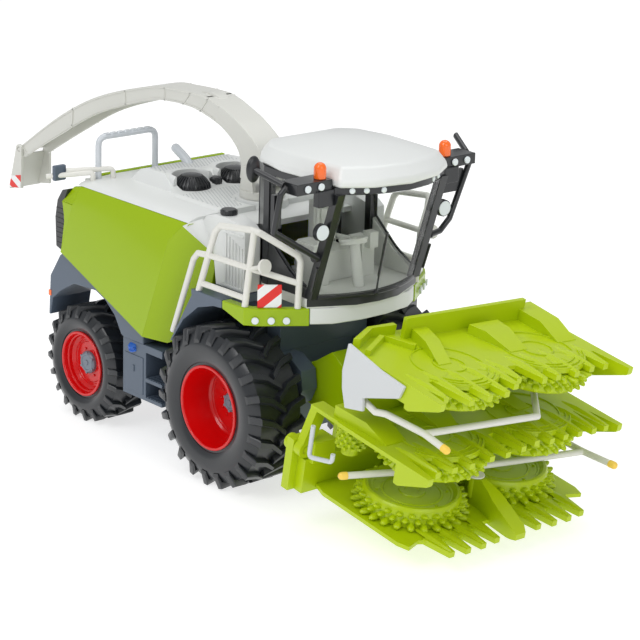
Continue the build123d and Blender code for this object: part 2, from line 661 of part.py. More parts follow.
def spout():
    low = HOOD_EDGE_Z + HOOD_RISE + RING_RISE + FIT
    top = low + TURRET_H
    pin_z = top + SPOUT_PIN_RISE
    turret = disc(SPOUT_AXIS_X, 0, low, TURRET_R, TURRET_H)
    for side in (-1, 1):
        y0, y1 = across(side, SPOUT_HALF + FIT, SPOUT_HALF + 3)
        ear = [(-62, top - 1), (-46, top - 1), (-49, pin_z + 4), (-59, pin_z + 4)]
        turret = turret + plate_xz(ear, y0, y1)
    pin = disc(SPOUT_AXIS_X, -SPOUT_HALF - 1, pin_z, SPOUT_PIN_R, 2 * SPOUT_HALF + 2, (0, 1, 0))
    write("spout_turret", turret + pin)
    # Back and belly of the chute, as x and the height above the lift pin
    back = [
        (-41, -7), (-41, 15), (-62, 31), (-84.5, 40.7), (-92, 45), (-104, 48.5), (-121, 48.6), (-150, 46.8),
        (-177, 44), (-242, 23), (-296, -3), (-357, -42.5),
    ]
    belly = [
        (-347, -37), (-319, -33), (-280, -10), (-242, 9), (-200, 25), (-176, 31), (-151, 35.5), (-114, 34),
        (-88, 27), (-70, 15), (-65, 3), (-66, -7),
    ]
    under = [(x, z - SPOUT_WALL) for x, z in back[4:-1]] + [(-362, -46.5), (-349, -50)]
    under = under + [(x, z - 9) for x, z in belly[1:9]]
    chute = plate_xz(back + belly, -SPOUT_HALF, SPOUT_HALF)
    chute = chute - plate_xz(under, -SPOUT_HALF + SPOUT_WALL, SPOUT_HALF - SPOUT_WALL)
    hole = disc(SPOUT_AXIS_X, -SPOUT_HALF - 1, 0, SPOUT_PIN_R + FIT, 2 * SPOUT_HALF + 2, (0, 1, 0))
    flap_pin = disc(FLAP_PIN_X, -FLAP_HALF, -FLAP_PIN_DROP, FLAP_PIN_R, 2 * FLAP_HALF, (0, 1, 0))
    write("spout_chute", Pos(0, 0, pin_z) * (chute - hole + flap_pin))
    flap = plate_xz([(-356.5, -47.2), (-366, -77), (-364, -77.6), (-354.6, -47.8)], -FLAP_HALF, FLAP_HALF)
    cheek = [(-355.5, -41), (-357, -47), (-366, -77), (-348, -74), (-347.5, -41)]
    for side in (-1, 1):
        y0, y1 = across(side, SPOUT_HALF + FIT, FLAP_HALF)
        ear = plate_xz(cheek, y0, y1) + disc(FLAP_PIN_X, y0, -FLAP_PIN_DROP, FLAP_EAR_R, y1 - y0, (0, 1, 0))
        bore = disc(FLAP_PIN_X, y0 - 1, -FLAP_PIN_DROP, FLAP_PIN_R + FIT, y1 - y0 + 2, (0, 1, 0))
        flap = flap + (ear - bore)
    write("spout_flap", Pos(0, 0, pin_z) * flap)


# Header sections are drawn with their middle at y = 0
def header_disc(u, y, h):
    """A disc with rows of blunt teeth under a raised rim and a sunk middle."""
    bowl_h = DISC_H - DISC_BOWL_H
    body = turned([
        (0, 0), (DISC_CORE_R, 0), (DISC_CORE_R, DISC_H - 3),
        (DISC_CAP_R, DISC_H - 1), (DISC_CAP_R - 1, DISC_H), (DISC_CAP_R - 3, DISC_H),
        (DISC_CAP_R - 5, DISC_H - 2), (DISC_BOWL_R, bowl_h), (0, bowl_h),
    ])
    for row, (h0, tip_r, root_r, thickness) in enumerate(TOOTH_ROWS):
        turn = Rot(0, 0, row * 180 / TEETH)
        body = body + turn * toothed(TEETH, tip_r, root_r, h0, thickness)
    return Pos(u, y, h) * body


def drum(u, y, h):
    """A small knobbed drum on a stub."""
    body = disc(0, 0, 0, DRUM_STUB_R, DISC_H + 6)
    body = body + disc(0, 0, 0, DRUM_ROOT_R, DRUM_ROWS * DRUM_ROW_STEP)
    for row in range(DRUM_ROWS):
        turn = Rot(0, 0, row * 180 / DRUM_TEETH)
        low = 0.4 + row * DRUM_ROW_STEP
        body = body + turn * toothed(DRUM_TEETH, DRUM_R, DRUM_ROOT_R - 0.2, low, DRUM_ROW_T)
    return Pos(u, y, h) * body


def fingers(places, root_u, side=1):
    """Tapered fingers along the front edge of a section."""
    made = []
    for y, tip in places:
        plan = [
            (root_u, side * y - FINGER_BASE), (tip, side * y - FINGER_TIP),
            (tip, side * y + FINGER_TIP), (root_u, side * y + FINGER_BASE),
        ]
        made.append(plate_xy(plan, PLATE_H, PLATE_H + FINGER_T))
    return made


def end_snout(end, reach):
    """The long pointed divider at one end of a wing."""
    out = end * reach
    y0, y1 = across(end, reach - 2 * SNOUT_HALF, reach)
    side = [
        (-44, PLATE_H), (-44, PLATE_H + SNOUT_H), (-40, PLATE_H + SNOUT_H + 0.5), (-13, PLATE_H + 6),
        (-12, PLATE_H + 4), (-12, PLATE_H),
    ]
    plan = [(-46, out), (-46, out - end * 2 * SNOUT_HALF), (-12, out - end * 4.5), (-12, out)]
    return plate_xz(side, y0, y1) & plate_xy(plan, PLATE_H - 1, PLATE_H + SNOUT_H + 2)


def header_centre():
    front = [(-27, 83), (-31, 71.5), (-24.5, 57), (-22.5, 42), (-25.5, 27), (-30, 14)]
    rear = [(SECTION_REAR_U, CENTRE_HALF - 4), (SECTION_REAR_U + 12, CENTRE_HALF)]
    plan = rear + [(-36, CENTRE_HALF)] + front
    plan = plan + [(u, -y) for u, y in reversed(plan)]
    plate = joined(plate_xy(plan, PLATE_H, PLATE_H + PLATE_T), *fingers(CENTRE_FINGERS, CENTRE_ROOT_U))
    nose = [
        (-55, PLATE_H), (-55, 16), (-47, 17), (-36, 13), (-8, -1), (-4, -4.5), (-4, -9), (-12, -10),
    ]
    divider = plate_xz(nose, -6, 6)
    narrow = [(-56, -2.6), (-46, -2.6), (-30, -6), (-8, -6), (-4, -4.5)]
    divider = divider & plate_xy(narrow + [(u, -y) for u, y in reversed(narrow)], -12, 20)
    write("header_base", in_header(plate + divider + disc(-55, -1, 0, 3, GUARD_H - GUARD_R - FIT / 2)))
    low = PLATE_H - 2
    frame = block(FRAME_U, -126, -HINGE_Y, HINGE_Y, low, 16) - block(FRAME_U - 1, -125, -22, 22, -6, 14)
    frame = frame + block(FRAME_U, -134, -ADAPTER_Y, ADAPTER_Y, 15, ADAPTER_H)
    frame = frame - block(FRAME_U - 1, -133, -22, 22, 13, 30)
    for side, fold_h in ((1, LEFT_FOLD_H), (-1, RIGHT_FOLD_H)):
        y0, y1 = across(side, HINGE_Y - 10, HINGE_Y + HINGE_R)
        frame = frame + block(FRAME_U, -HINGE_U0, y0, y1, low, fold_h + HINGE_R)
        pin_l = HINGE_LUG + 1 + FIT
        frame = frame + disc(-HINGE_U0 - 1, side * HINGE_Y, fold_h, HINGE_PIN_R, pin_l, (1, 0, 0))
    write("header_frame", in_header(frame))
    for label, side in (("left", 1), ("right", -1)):
        write(f"centre_disc_{label}", in_header(header_disc(DISC_U, side * DISC_Y, PLATE_H + PLATE_T + FIT)))


def folded(shape, side, fold_h, roll):
    """Turn a wing from its working place beside the centre to its folded place on top."""
    to_pin = Pos(0, side * HINGE_Y, fold_h)
    return to_pin * Rot(side * (180 - roll), 0, 0) * Pos(0, -side * HINGE_Y, -fold_h) * shape


def wedge(rear_u, front_u, rear_y, front_y, rise, flat):
    """A runner under a wing: flat behind, then sloping to the plate in front."""
    side = [
        (rear_u, PLATE_H + 1), (rear_u, PLATE_H - rise), (rear_u + flat, PLATE_H - rise),
        (front_u, PLATE_H - 0.5), (front_u, PLATE_H + 1),
    ]
    low_y = min(*rear_y, *front_y)
    high_y = max(*rear_y, *front_y)
    plan = [(rear_u, rear_y[0]), (rear_u, rear_y[1]), (front_u, front_y[1]), (front_u, front_y[0])]
    return plate_xz(side, low_y, high_y) & plate_xy(plan, PLATE_H - rise - 1, PLATE_H + 2)


def wing(side, fold_h, roll, places):
    """One wing, drawn in its working place with its inner end at the hinge."""
    rear = WING_REAR_U
    root = WING_ROOT_U + 2
    out = WING_OUT
    plan = [
        (rear, -70), (rear + 14, -WING_IN), (root, -WING_IN), (root + 2, -60), (root + 4, -DISC_Y),
        (root, 0), (root + 4, DISC_Y), (root + 2, 60), (root, out), (rear + 14, out), (rear, 70),
    ]
    plan = [(u, side * y) for u, y in plan]
    section = joined(plate_xy(plan, PLATE_H, PLATE_H + PLATE_T), *fingers(places, WING_ROOT_U, side))
    y0, y1 = across(side, out - 3.5, out)
    skirt = block(-104, -43, y0, y1, PLATE_H, PLATE_H + SKIRT_H)
    section = joined(section, end_snout(side, out), end_snout(-side, WING_IN), skirt)
    under = [
        wedge(-110, -61, (22, 36), (39, 51), 7, 26),
        wedge(-97, -61, (-38, -10), (-34, -18), 7, 14),
        wedge(-113, -62, (-87, -67), (-84, -66), 8, 30),
        block(WALL_U, WALL_U + WALL_T, -72, 44, PLATE_H - WALL_H, PLATE_H + 1),
        plate_xy([(-92, 91), (-89, 89), (-106, 61), (-109, 63)], PLATE_H - RIB_H, PLATE_H + 1),
        plate_xy([(-109, 63), (-106, 61), (-86, 51), (-88, 47)], PLATE_H - RIB_H, PLATE_H + 1),
        plate_xy([(-104, 92), (-101, 88), (-114, 66), (-117, 68)], PLATE_H - 7, PLATE_H + 1),
        plate_xy([(-117, 68), (-114, 66), (-113, 44), (-117, 44)], PLATE_H - 7, PLATE_H + 1),
    ]
    below = joined(*under)
    section = section + (below if side == 1 else mirrored(below))
    section = Pos(0, side * 2 * HINGE_Y, 0) * section
    lug_u = -HINGE_U0 + FIT
    y0, y1 = across(side, HINGE_Y + HINGE_R - 1, HINGE_Y + 16)
    arm = block(lug_u, -105, y0, y1, PLATE_H, PLATE_H + PLATE_T)
    post = [
        (side * (HINGE_Y - 5), fold_h), (side * (HINGE_Y + 5), fold_h),
        (side * (HINGE_Y + 16), PLATE_H), (side * (HINGE_Y + 6), PLATE_H),
    ]
    post = plate_yz(post, lug_u, lug_u + HINGE_LUG - FIT)
    barrel = disc(lug_u, side * HINGE_Y, fold_h, HINGE_R, HINGE_LUG - FIT, (1, 0, 0))
    hole = disc(lug_u - 1, side * HINGE_Y, fold_h, HINGE_PIN_R + FIT, HINGE_LUG + 3, (1, 0, 0))
    return folded((section + arm + post + barrel) - hole, side, fold_h, roll)


def header_wings():
    folds = (
        ("left", 1, LEFT_FOLD_H, LEFT_FOLD_ROLL, LEFT_FINGERS),
        ("right", -1, RIGHT_FOLD_H, RIGHT_FOLD_ROLL, RIGHT_FINGERS),
    )
    for label, side, fold_h, roll, places in folds:
        write(f"wing_{label}", in_header(wing(side, fold_h, roll, places)))
        for place, offset in (("inner", 2 * HINGE_Y - DISC_Y), ("outer", 2 * HINGE_Y + DISC_Y)):
            item = header_disc(DISC_U + WING_SHIFT, side * offset, PLATE_H + FINGER_T + FIT)
            write(f"wing_{label}_disc_{place}", in_header(folded(item, side, fold_h, roll)))
        item = drum(DRUM_U, side * (2 * HINGE_Y - DRUM_Y), PLATE_H + PLATE_T + FIT)
        write(f"wing_{label}_drum", in_header(folded(item, side, fold_h, roll)))
    side = [
        (-103, -12.5), (-104, 7.6), (-101, 19.6), (-95, 31.6), (-78, 26.6),
        (-80, 17.6), (-48, 3.6), (-45, -6.1), (-70, -7.5),
    ]
    outer = 2 * HINGE_Y + WING_OUT + FIT / 2
    shield = plate_xz(side, outer, outer + SHIELD_T)
    write("end_shield", in_header(folded(shield, 1, LEFT_FOLD_H, LEFT_FOLD_ROLL)))


def guard_rods():
    joint = (-35, 86, 24)
    lower = tube([(-88, -97, GUARD_H), (-56, -4, GUARD_H), joint], GUARD_R)
    lower = lower + tube([(-57, 86, 23), joint, (-6, 88, 26)], GUARD_R)
    write("guard_rod_centre", in_header(lower))
    upper = [(-86, -89.8, 81), (-71.6, -89.6, 77.5), (-64.6, -86.5, 78.5), (-33, -80, 77), (-10, -80, 75)]
    upper = tube(upper, GUARD_R) + tube([(-33, -80, 77), (-26, 20, 71), (-66, 55, 70)], GUARD_R)
    write("guard_rod_wing", in_header(upper))


def feeder():
    """The housing that carries the header, on a pin between two ears of the chassis."""
    tilt = radians(HEADER_TILT)

    def rear_of_frame(h):
        return COMB_X + FRAME_U * cos(tilt) + h * sin(tilt), COMB_Z - FRAME_U * sin(tilt) + h * cos(tilt)

    side = [
        (LIFT_PIN_X, LIFT_PIN_Z - FEEDER_R), (LIFT_PIN_X, LIFT_PIN_Z + FEEDER_R), (60, 106),
        rear_of_frame(ADAPTER_H - 2), rear_of_frame(-1),
    ]
    house = plate_xz(side, -FEEDER_Y, FEEDER_Y)
    house = house + disc(LIFT_PIN_X, -FEEDER_Y, LIFT_PIN_Z, FEEDER_R, 2 * FEEDER_Y, (0, 1, 0))
    pin = disc(LIFT_PIN_X, -CHASSIS_Y, LIFT_PIN_Z, LIFT_PIN_R, 2 * CHASSIS_Y, (0, 1, 0))
    write("feeder_house", house + pin)


wheels()
axles()
chassis()
fenders()
panels()
hood()
cab()
lights()
front_end()
spout()
header_centre()
header_wings()
guard_rods()
feeder()
whole = Compound([s for shape in written.values() for s in shape.solids()]).bounding_box()
print("box", whole.min, whole.max)
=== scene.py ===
import json
from math import cos, pi, radians, sin

import bmesh
import bpy
from mathutils import Matrix, Vector

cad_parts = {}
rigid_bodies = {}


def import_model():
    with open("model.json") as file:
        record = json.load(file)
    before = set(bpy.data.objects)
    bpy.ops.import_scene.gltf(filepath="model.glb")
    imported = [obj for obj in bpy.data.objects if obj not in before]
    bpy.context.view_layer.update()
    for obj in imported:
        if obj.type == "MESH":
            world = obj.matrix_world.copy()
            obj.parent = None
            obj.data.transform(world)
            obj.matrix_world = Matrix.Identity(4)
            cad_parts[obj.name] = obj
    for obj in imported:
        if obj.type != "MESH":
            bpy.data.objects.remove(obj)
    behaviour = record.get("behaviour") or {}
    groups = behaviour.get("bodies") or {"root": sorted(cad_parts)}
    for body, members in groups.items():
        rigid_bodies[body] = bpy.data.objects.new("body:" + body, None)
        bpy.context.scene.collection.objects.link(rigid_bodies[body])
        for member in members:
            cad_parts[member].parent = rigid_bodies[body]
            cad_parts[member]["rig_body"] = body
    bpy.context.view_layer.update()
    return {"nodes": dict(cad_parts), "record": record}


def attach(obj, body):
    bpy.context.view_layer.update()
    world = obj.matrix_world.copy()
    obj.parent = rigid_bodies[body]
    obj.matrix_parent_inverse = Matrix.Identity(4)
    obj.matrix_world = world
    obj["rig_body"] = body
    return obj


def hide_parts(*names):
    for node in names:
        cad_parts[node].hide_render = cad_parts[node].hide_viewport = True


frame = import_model()
scene = bpy.context.scene

# The scene is in metres, in the part's own frame: +X forwards, +Y left, +Z up, the toy standing on z = 0.
# Pieces are drawn in millimetres, with x measured from the front axle.
MM = 0.001
FRONT_AXLE_X = 62.0
TO_SCENE = Matrix.Diagonal((MM, MM, MM, 1)) @ Matrix.Translation((FRONT_AXLE_X, 0, 0))
SIDE = {"left": 1, "right": -1}

# Camera: its place in metres, its angles, and its lens and sensor in millimetres
CAMERA_PLACE = Vector((1.4195, -1.1748, 0.6687))
CAMERA_AZIMUTH = radians(48.81)
CAMERA_ELEVATION = radians(17.28)
CAMERA_ROLL = radians(1.59)
CAMERA_LENS = 143.41
CAMERA_SENSOR = 36

# Floor and light, in metres and watts
FLOOR_SIZE = 12
FLOOR_GLOW = 0.68
SKY_COLOUR = (0.97, 0.985, 1.0, 1)
SKY_STRENGTH = 0.5
LIGHTS_AIM = Vector((0, 0, 0.1))
# Area lights: name, place, size, power
LIGHTS = (
    ("key", (0.2, -1.6, 1.8), 1.2, 17),
    ("front", (1.8, -0.3, 1.1), 1.2, 8),
    ("top", (-0.3, 0.4, 1.9), 1.6, 13),
)

# Meshes: rounding of edges, what counts as a crease, and what is too small to keep
EDGE = 0.45
SHARP_ANGLE = radians(32)
FLAT_ANGLE = radians(0.6)
MERGE = 0.01
FINE_MERGE = 0.002
SLIVER_AREA = 1e-6

# Wheels: x and y of the tyre's middle, its radius and width, its lugs, the rim's radius, the depth of its
# dish and the steps in it, the hub plate's radius, and the bolts with the radius of their ring
FRONT_WHEEL = {
    "x": 0, "y": 70, "r": 60.25, "width": 48, "lugs": 22,
    "rim_r": 31.5, "dish": 24, "steps": 4, "hub_r": 7.2, "bolts": 12, "bolts_r": 13,
}
REAR_WHEEL = {
    "x": -171.4, "y": 64.8, "r": 45.9, "width": 36, "lugs": 20,
    "rim_r": 25.5, "dish": 9, "steps": 2, "hub_r": 8.8, "bolts": 6, "bolts_r": 11,
}
LUG_H = 4.2
SHOULDER = 6.0
WALL_DROP = 11.0
RIM_INSET = 1.5
HUB_SEAT_R = 8.5
BORE_R = 3.4

# Lockers, steps and reflectors beside the wheels
LOCKER_Y = 79.9
DOOR_X = (-116, -93)
DOOR_Z = (42, 71)
STEPS_X = -88
STEPS_Y = (53, 79.8)
STEPS_Z = (41, 56)
TREAD_PITCH = 3
TREAD_W = 1.4
TANK_CAP = Vector((-106, -78.4, 75.4))
TANK_CAP_AXIS = Vector((0, -0.55, 0.84)).normalized()

# Panels and side housings
PANEL_Y = 84.9
PANEL_EDGE_Y = 79.2
PANEL_T = 3.4
GRILLE_Y = 84.2
GRILLE_T = 6
GRILLE_RIB_PITCH = 3.9
HOUSING_Y = 66.6
HOUSING_RIB_X = -13
HOUSING_RIB_PITCH = 3.6
FILLER_CAP = Vector((-20, -59, 195.1))
FILLER_R = 5.9

# Hood
HOOD_TOP_Z = 191.0
HUMP_Z = 201.0
INTAKE_X = -112.0
INTAKE_Y = 21.0
INTAKE_R = 14.5
FINS = 28
HOLE_PITCH = 2.9
TURRET_CLEAR_R = 22.5
DOME_CLEAR_R = 20
STUB_TOP = Vector((-158, -1.7, 209.6))
STUB_R = 3.5
HOOP_X = -175
HOOP_Y = (-62, -8)
HOOP_Z = 222
HOOP_R = 2.4
HANDLE_R = 2.0

# Spout, with heights from its lift pin
SPOUT_X = -54.0
SPOUT_PIN_Z = 213.0
SPOUT_HALF = 12.5
SPOUT_WALL = 2.0
SPOUT_STEPS = 6
CHANNEL_FROM = 26
TRIM_FROM = 20
FLAP_PIN = (-351.5, -41.5)
FLAP_EAR_Y = 15.05
# The line of the spout's back and of its belly from the turret to the flap: x and height
BACK = (
    (-41, -7), (-41, 15), (-62, 31), (-84.5, 40.7), (-104, 46.2), (-121, 47), (-150, 45.6),
    (-177, 42.4), (-242, 23), (-296, -3), (-357, -42.5),
)
BELLY = (
    (-66, -7), (-65, 3), (-70, 15), (-88, 27), (-114, 34), (-132, 35.6), (-151, 35), (-176, 31),
    (-242, 9), (-296, -19), (-347, -48),
)

# Cab. The roof's front edge is given by x and sideways place.
EAVE = ((105, 0), (102, 22), (86, 52))
EAVE_Z = 233.6
EAVE_LAMPS_Y = (-41, -32, -21, 29, 38)
SPOT_LAMP = (78, 57.8, 204)
SPOT_LAMP_R = 5.55
CLAMP_Z = 183
SILL_Z = 149.6
SILL_HALF = 46
GLASS_HALF = 45.2
GLASS_X = 64.2
GLASS_BULGE = 13.5
WINDOW_Y = 50.6
SEAT_X = 17.6
SEAT_HALF = 12.5
STEERING = (48.6, 0, 183)
STEERING_AXIS = (-0.2, 0, 1)
STEERING_R = 10.6
MIRROR = Vector((50, -94.9, 248))
MIRROR_HALF = Vector((2.5, 6, 9.5))

# Header: u forwards, y sideways and h upwards from the middle of the comb, all tilted forwards
HEADER_TILT = radians(9)
COMB_X = 234.6
COMB_Z = 19.0
HINGE_Y = 95.0
FOLD_H = {"left": 45.5, "right": 23.5}
FOLD_ROLL = {"left": radians(3.5), "right": 0.0}
WING_BODY = {"left": "left_wing", "right": "header"}
PLATE_H = -8.0
CENTRE_TOP_H = -4.0
DISC_Y = 42.2
# A disc's seat on the centre and on a wing: u and h
CENTRE_DISC = (-72.0, -4.7)
WING_DISC = (-60.0, -3.5)
DISC_R = 35
DISC_H = 14.5
BOWL_DEPTH = 4
TEETH = 26
WEB_R = 35
WEB_T = 2.8
WEB_REACH = 68
RING_RISE = 1.3
WING_ROOT_U = -46
CENTRE_ROOT_U = -30
# Rows of knobs on a disc: height of the row, radius at the tips, rise of the tip, thickness at the foot
KNOB_ROWS = ((2.1, 42, -0.2, 2.3), (5.8, 39.5, 0.2, 2.0), (9.2, 39, 1.6, 2.2))
# Rings on a wing round each disc: inner radius, width, arc in degrees
WING_RINGS = ((33.2, 1.5, 132), (30.4, 0.9, 132), (26, 1.1, 360), (11, 1.2, 360))
# Spokes on a web: their places in degrees, and the radius they run from and to
SPOKES = (-50, -18, 18, 50)
SPOKE_R = (12.5, 35)
# Fingers by section: sideways place and how far forward the tip reaches
CENTRE_FINGERS = (
    (-62.3, -6.5), (-48.5, -5.0), (-34.2, -5.0), (-20.0, -6.5),
    (20.0, -6.5), (34.2, -5.0), (48.5, -5.0), (62.3, -6.5),
)
WING_FINGERS = {
    "left": (
        (-75, -23), (-61, -23), (-43, -20), (-25, -20.5), (-11, -20), (8, -26),
        (17, -19.5), (33, -12), (50, -11), (68, -9.8), (83, -19),
    ),
    "right": (
        (-77.5, -17), (-62, -17), (-47, -16), (-27, -17.5), (-12.4, -17), (4, -18.5),
        (18.6, -20.5), (31, -18), (44.5, -18), (57.5, -17), (70, -15.5), (81.5, -15),
    ),
}
# Yellow rod ends: the body that carries the rod, its end and a point before the end
ROD_ENDS = (
    ("left_wing", (-10, -80, 75), (-33, -80, 77)),
    ("header", (-6, 88, 26), (-35, 86, 24)),
    ("header", (-88, -97, 22.8), (-56, -4, 22.8)),
)
ROD_TIP_R = 2.75
HANDLE_Y = -99
BARREL_U = -141
BARREL_R = 5.9


# Materials
def linear(red, green, blue):
    """A colour read as 0 to 255 on a screen, as the shader's linear values."""
    shares = [value / 255 for value in (red, green, blue)]
    return tuple(c / 12.92 if c <= 0.04 else ((c + 0.055) / 1.055) ** 2.4 for c in shares)


def new_material(name):
    material = bpy.data.materials.new(name)
    material.use_nodes = True
    tree = material.node_tree
    return material, tree, tree.nodes["Principled BSDF"]


def noise(tree, coords, size, detail):
    """Noise whose blotches are about size millimetres across."""
    node = tree.nodes.new("ShaderNodeTexNoise")
    node.inputs["Scale"].default_value = 1 / (size * MM)
    node.inputs["Detail"].default_value = detail
    tree.links.new(coords.outputs["Object"], node.inputs["Vector"])
    return node


def remap(tree, value, low, high):
    """The usual range of a noise, spread from low to high."""
    node = tree.nodes.new("ShaderNodeMapRange")
    node.inputs["From Min"].default_value = 0.3
    node.inputs["From Max"].default_value = 0.7
    node.inputs["To Min"].default_value = low
    node.inputs["To Max"].default_value = high
    tree.links.new(value, node.inputs["Value"])
    return node.outputs["Result"]


def bumped(tree, shader, height, strength, depth):
    """Raise and lower the surface by depth millimetres after a height from another node."""
    bump = tree.nodes.new("ShaderNodeBump")
    bump.inputs["Strength"].default_value = strength
    bump.inputs["Distance"].default_value = depth * MM
    tree.links.new(height, bump.inputs["Height"])
    tree.links.new(bump.outputs["Normal"], shader.inputs["Normal"])


def mixed(tree, factor, first, second):
    """A colour between two colours, by a factor from another node."""
    tint = tree.nodes.new("ShaderNodeMix")
    tint.data_type = "RGBA"
    colours = [socket for socket in tint.inputs if socket.type == "RGBA"]
    colours[0].default_value = (*first, 1)
    colours[1].default_value = (*second, 1)
    tree.links.new(factor, tint.inputs["Factor"])
    return [socket for socket in tint.outputs if socket.type == "RGBA"][0]


def plastic(name, colour, roughness, depth=0.02, size=0.4, coat=0.0, uneven=0.02, glow=0.0, shine=0.5):
    """Moulded plastic: a slightly cloudy colour, an uneven sheen and a fine grain."""
    material, tree, shader = new_material(name)
    coords = tree.nodes.new("ShaderNodeTexCoord")
    cloud = noise(tree, coords, 45, 1)
    rgb = linear(*colour)
    dark = [c * (1 - uneven) for c in rgb]
    pale = [min(1, c * (1 + uneven)) for c in rgb]
    tree.links.new(mixed(tree, cloud.outputs["Fac"], dark, pale), shader.inputs["Base Color"])
    sheen = noise(tree, coords, 14, 2)
    uneven_sheen = remap(tree, sheen.outputs["Fac"], roughness * 0.92, roughness * 1.08)
    tree.links.new(uneven_sheen, shader.inputs["Roughness"])
    fine = noise(tree, coords, size, 2)
    bumped(tree, shader, fine.outputs["Fac"], 0.5, depth)
    shader.inputs["Specular IOR Level"].default_value = shine
    if coat:
        shader.inputs["Coat Weight"].default_value = coat
        shader.inputs["Coat Roughness"].default_value = 0.1
    if glow:
        shader.inputs["Emission Color"].default_value = (1, 1, 1, 1)
        shader.inputs["Emission Strength"].default_value = glow
    return material


def striped(name, across, pitch):
    """Printed red and white stripes, counted along the direction across."""
    material, tree, shader = new_material(name)
    coords = tree.nodes.new("ShaderNodeTexCoord")
    along = tree.nodes.new("ShaderNodeVectorMath")
    along.operation = "DOT_PRODUCT"
    along.inputs[1].default_value = Vector(across).normalized() / (pitch * MM)
    tree.links.new(coords.outputs["Object"], along.inputs[0])
    part = tree.nodes.new("ShaderNodeMath")
    part.operation = "FRACT"
    tree.links.new(along.outputs["Value"], part.inputs[0])
    band = tree.nodes.new("ShaderNodeMath")
    band.operation = "GREATER_THAN"
    band.inputs[1].default_value = 0.5
    tree.links.new(part.outputs["Value"], band.inputs[0])
    colour = mixed(tree, band.outputs["Value"], linear(*STRIPE_WHITE), linear(*STRIPE_RED))
    tree.links.new(colour, shader.inputs["Base Color"])
    sheen = noise(tree, coords, 3, 2)
    tree.links.new(remap(tree, sheen.outputs["Fac"], 0.3, 0.42), shader.inputs["Roughness"])
    fine = noise(tree, coords, 0.5, 2)
    bumped(tree, shader, fine.outputs["Fac"], 0.5, 0.01)
    return material


def clear_plastic(name):
    """Thin clear moulding with faint waves."""
    material, tree, shader = new_material(name)
    coords = tree.nodes.new("ShaderNodeTexCoord")
    wave = noise(tree, coords, 25, 2)
    bumped(tree, shader, wave.outputs["Fac"], 0.2, 0.05)
    tree.links.new(remap(tree, wave.outputs["Fac"], 0.02, 0.06), shader.inputs["Roughness"])
    shader.inputs["Base Color"].default_value = (0.97, 0.98, 0.97, 1)
    shader.inputs["Transmission Weight"].default_value = 1.0
    shader.inputs["IOR"].default_value = 1.06
    return material


STRIPE_WHITE = (236, 238, 238)
STRIPE_RED = (226, 36, 26)
# The finish of each of the record's material slots
MATERIALS = {
    "body_lime": plastic("body_lime_plastic", (151, 180, 3), 0.24, depth=0.008, coat=0.15, shine=0.25),
    "header_lime": plastic("header_lime_plastic", (178, 200, 8), 0.34, depth=0.012, coat=0.1, shine=0.35),
    "slate": plastic("slate_plastic", (84, 96, 111), 0.34, depth=0.02, shine=0.45),
    "off_white": plastic("off_white_plastic", (223, 225, 223), 0.32, depth=0.01, coat=0.2),
    "rail_white": plastic("rail_white_plastic", (222, 221, 214), 0.4, depth=0.01),
    "black": plastic("black_plastic", (30, 32, 35), 0.3, coat=0.2),
    "cab_grey": plastic("cab_grey_plastic", (216, 218, 212), 0.45),
    "clear": clear_plastic("clear_moulding"),
    "rim_red": plastic("rim_red_plastic", (208, 6, 8), 0.22, depth=0.006, coat=0.3, shine=0.35),
    "tyre_black": plastic("tyre_soft_plastic", (32, 35, 39), 0.34, depth=0.02, size=0.7, coat=0.2),
    "beacon_orange": plastic("beacon_orange_plastic", (255, 110, 16), 0.18, coat=0.5),
    "lamp_white": plastic("lamp_print", (226, 233, 236), 0.2, coat=0.6),
    "warning_stripe": striped("warning_stripe_print", across=(0.5, 0.72, -1.05), pitch=12.5),
}
SILVER = plastic("silver_finish", (200, 205, 210), 0.24, coat=0.3)
# Painted shade: a grey that stands in for the shade inside the hood's perforations
PAINTED_HOLE_SHADE = plastic("painted_hole_shade_plastic", (168, 173, 174), 0.5)
SPOUT_WHITE = plastic("spout_white_plastic", (208, 208, 201), 0.34, depth=0.01, coat=0.15)
SHIELD_GREY = plastic("shield_grey_plastic", (204, 207, 208), 0.36, depth=0.01)
FLAP_STRIPES = striped("flap_stripe_print", across=(0.5, 0.5, 1.0), pitch=11)
HUB_GREY = plastic("hub_grey_plastic", (112, 122, 134), 0.36)
TIP_YELLOW = plastic("tip_yellow_plastic", (246, 206, 84), 0.4)
CAP_BLUE = plastic("cap_blue_plastic", (16, 92, 190), 0.3, coat=0.3)


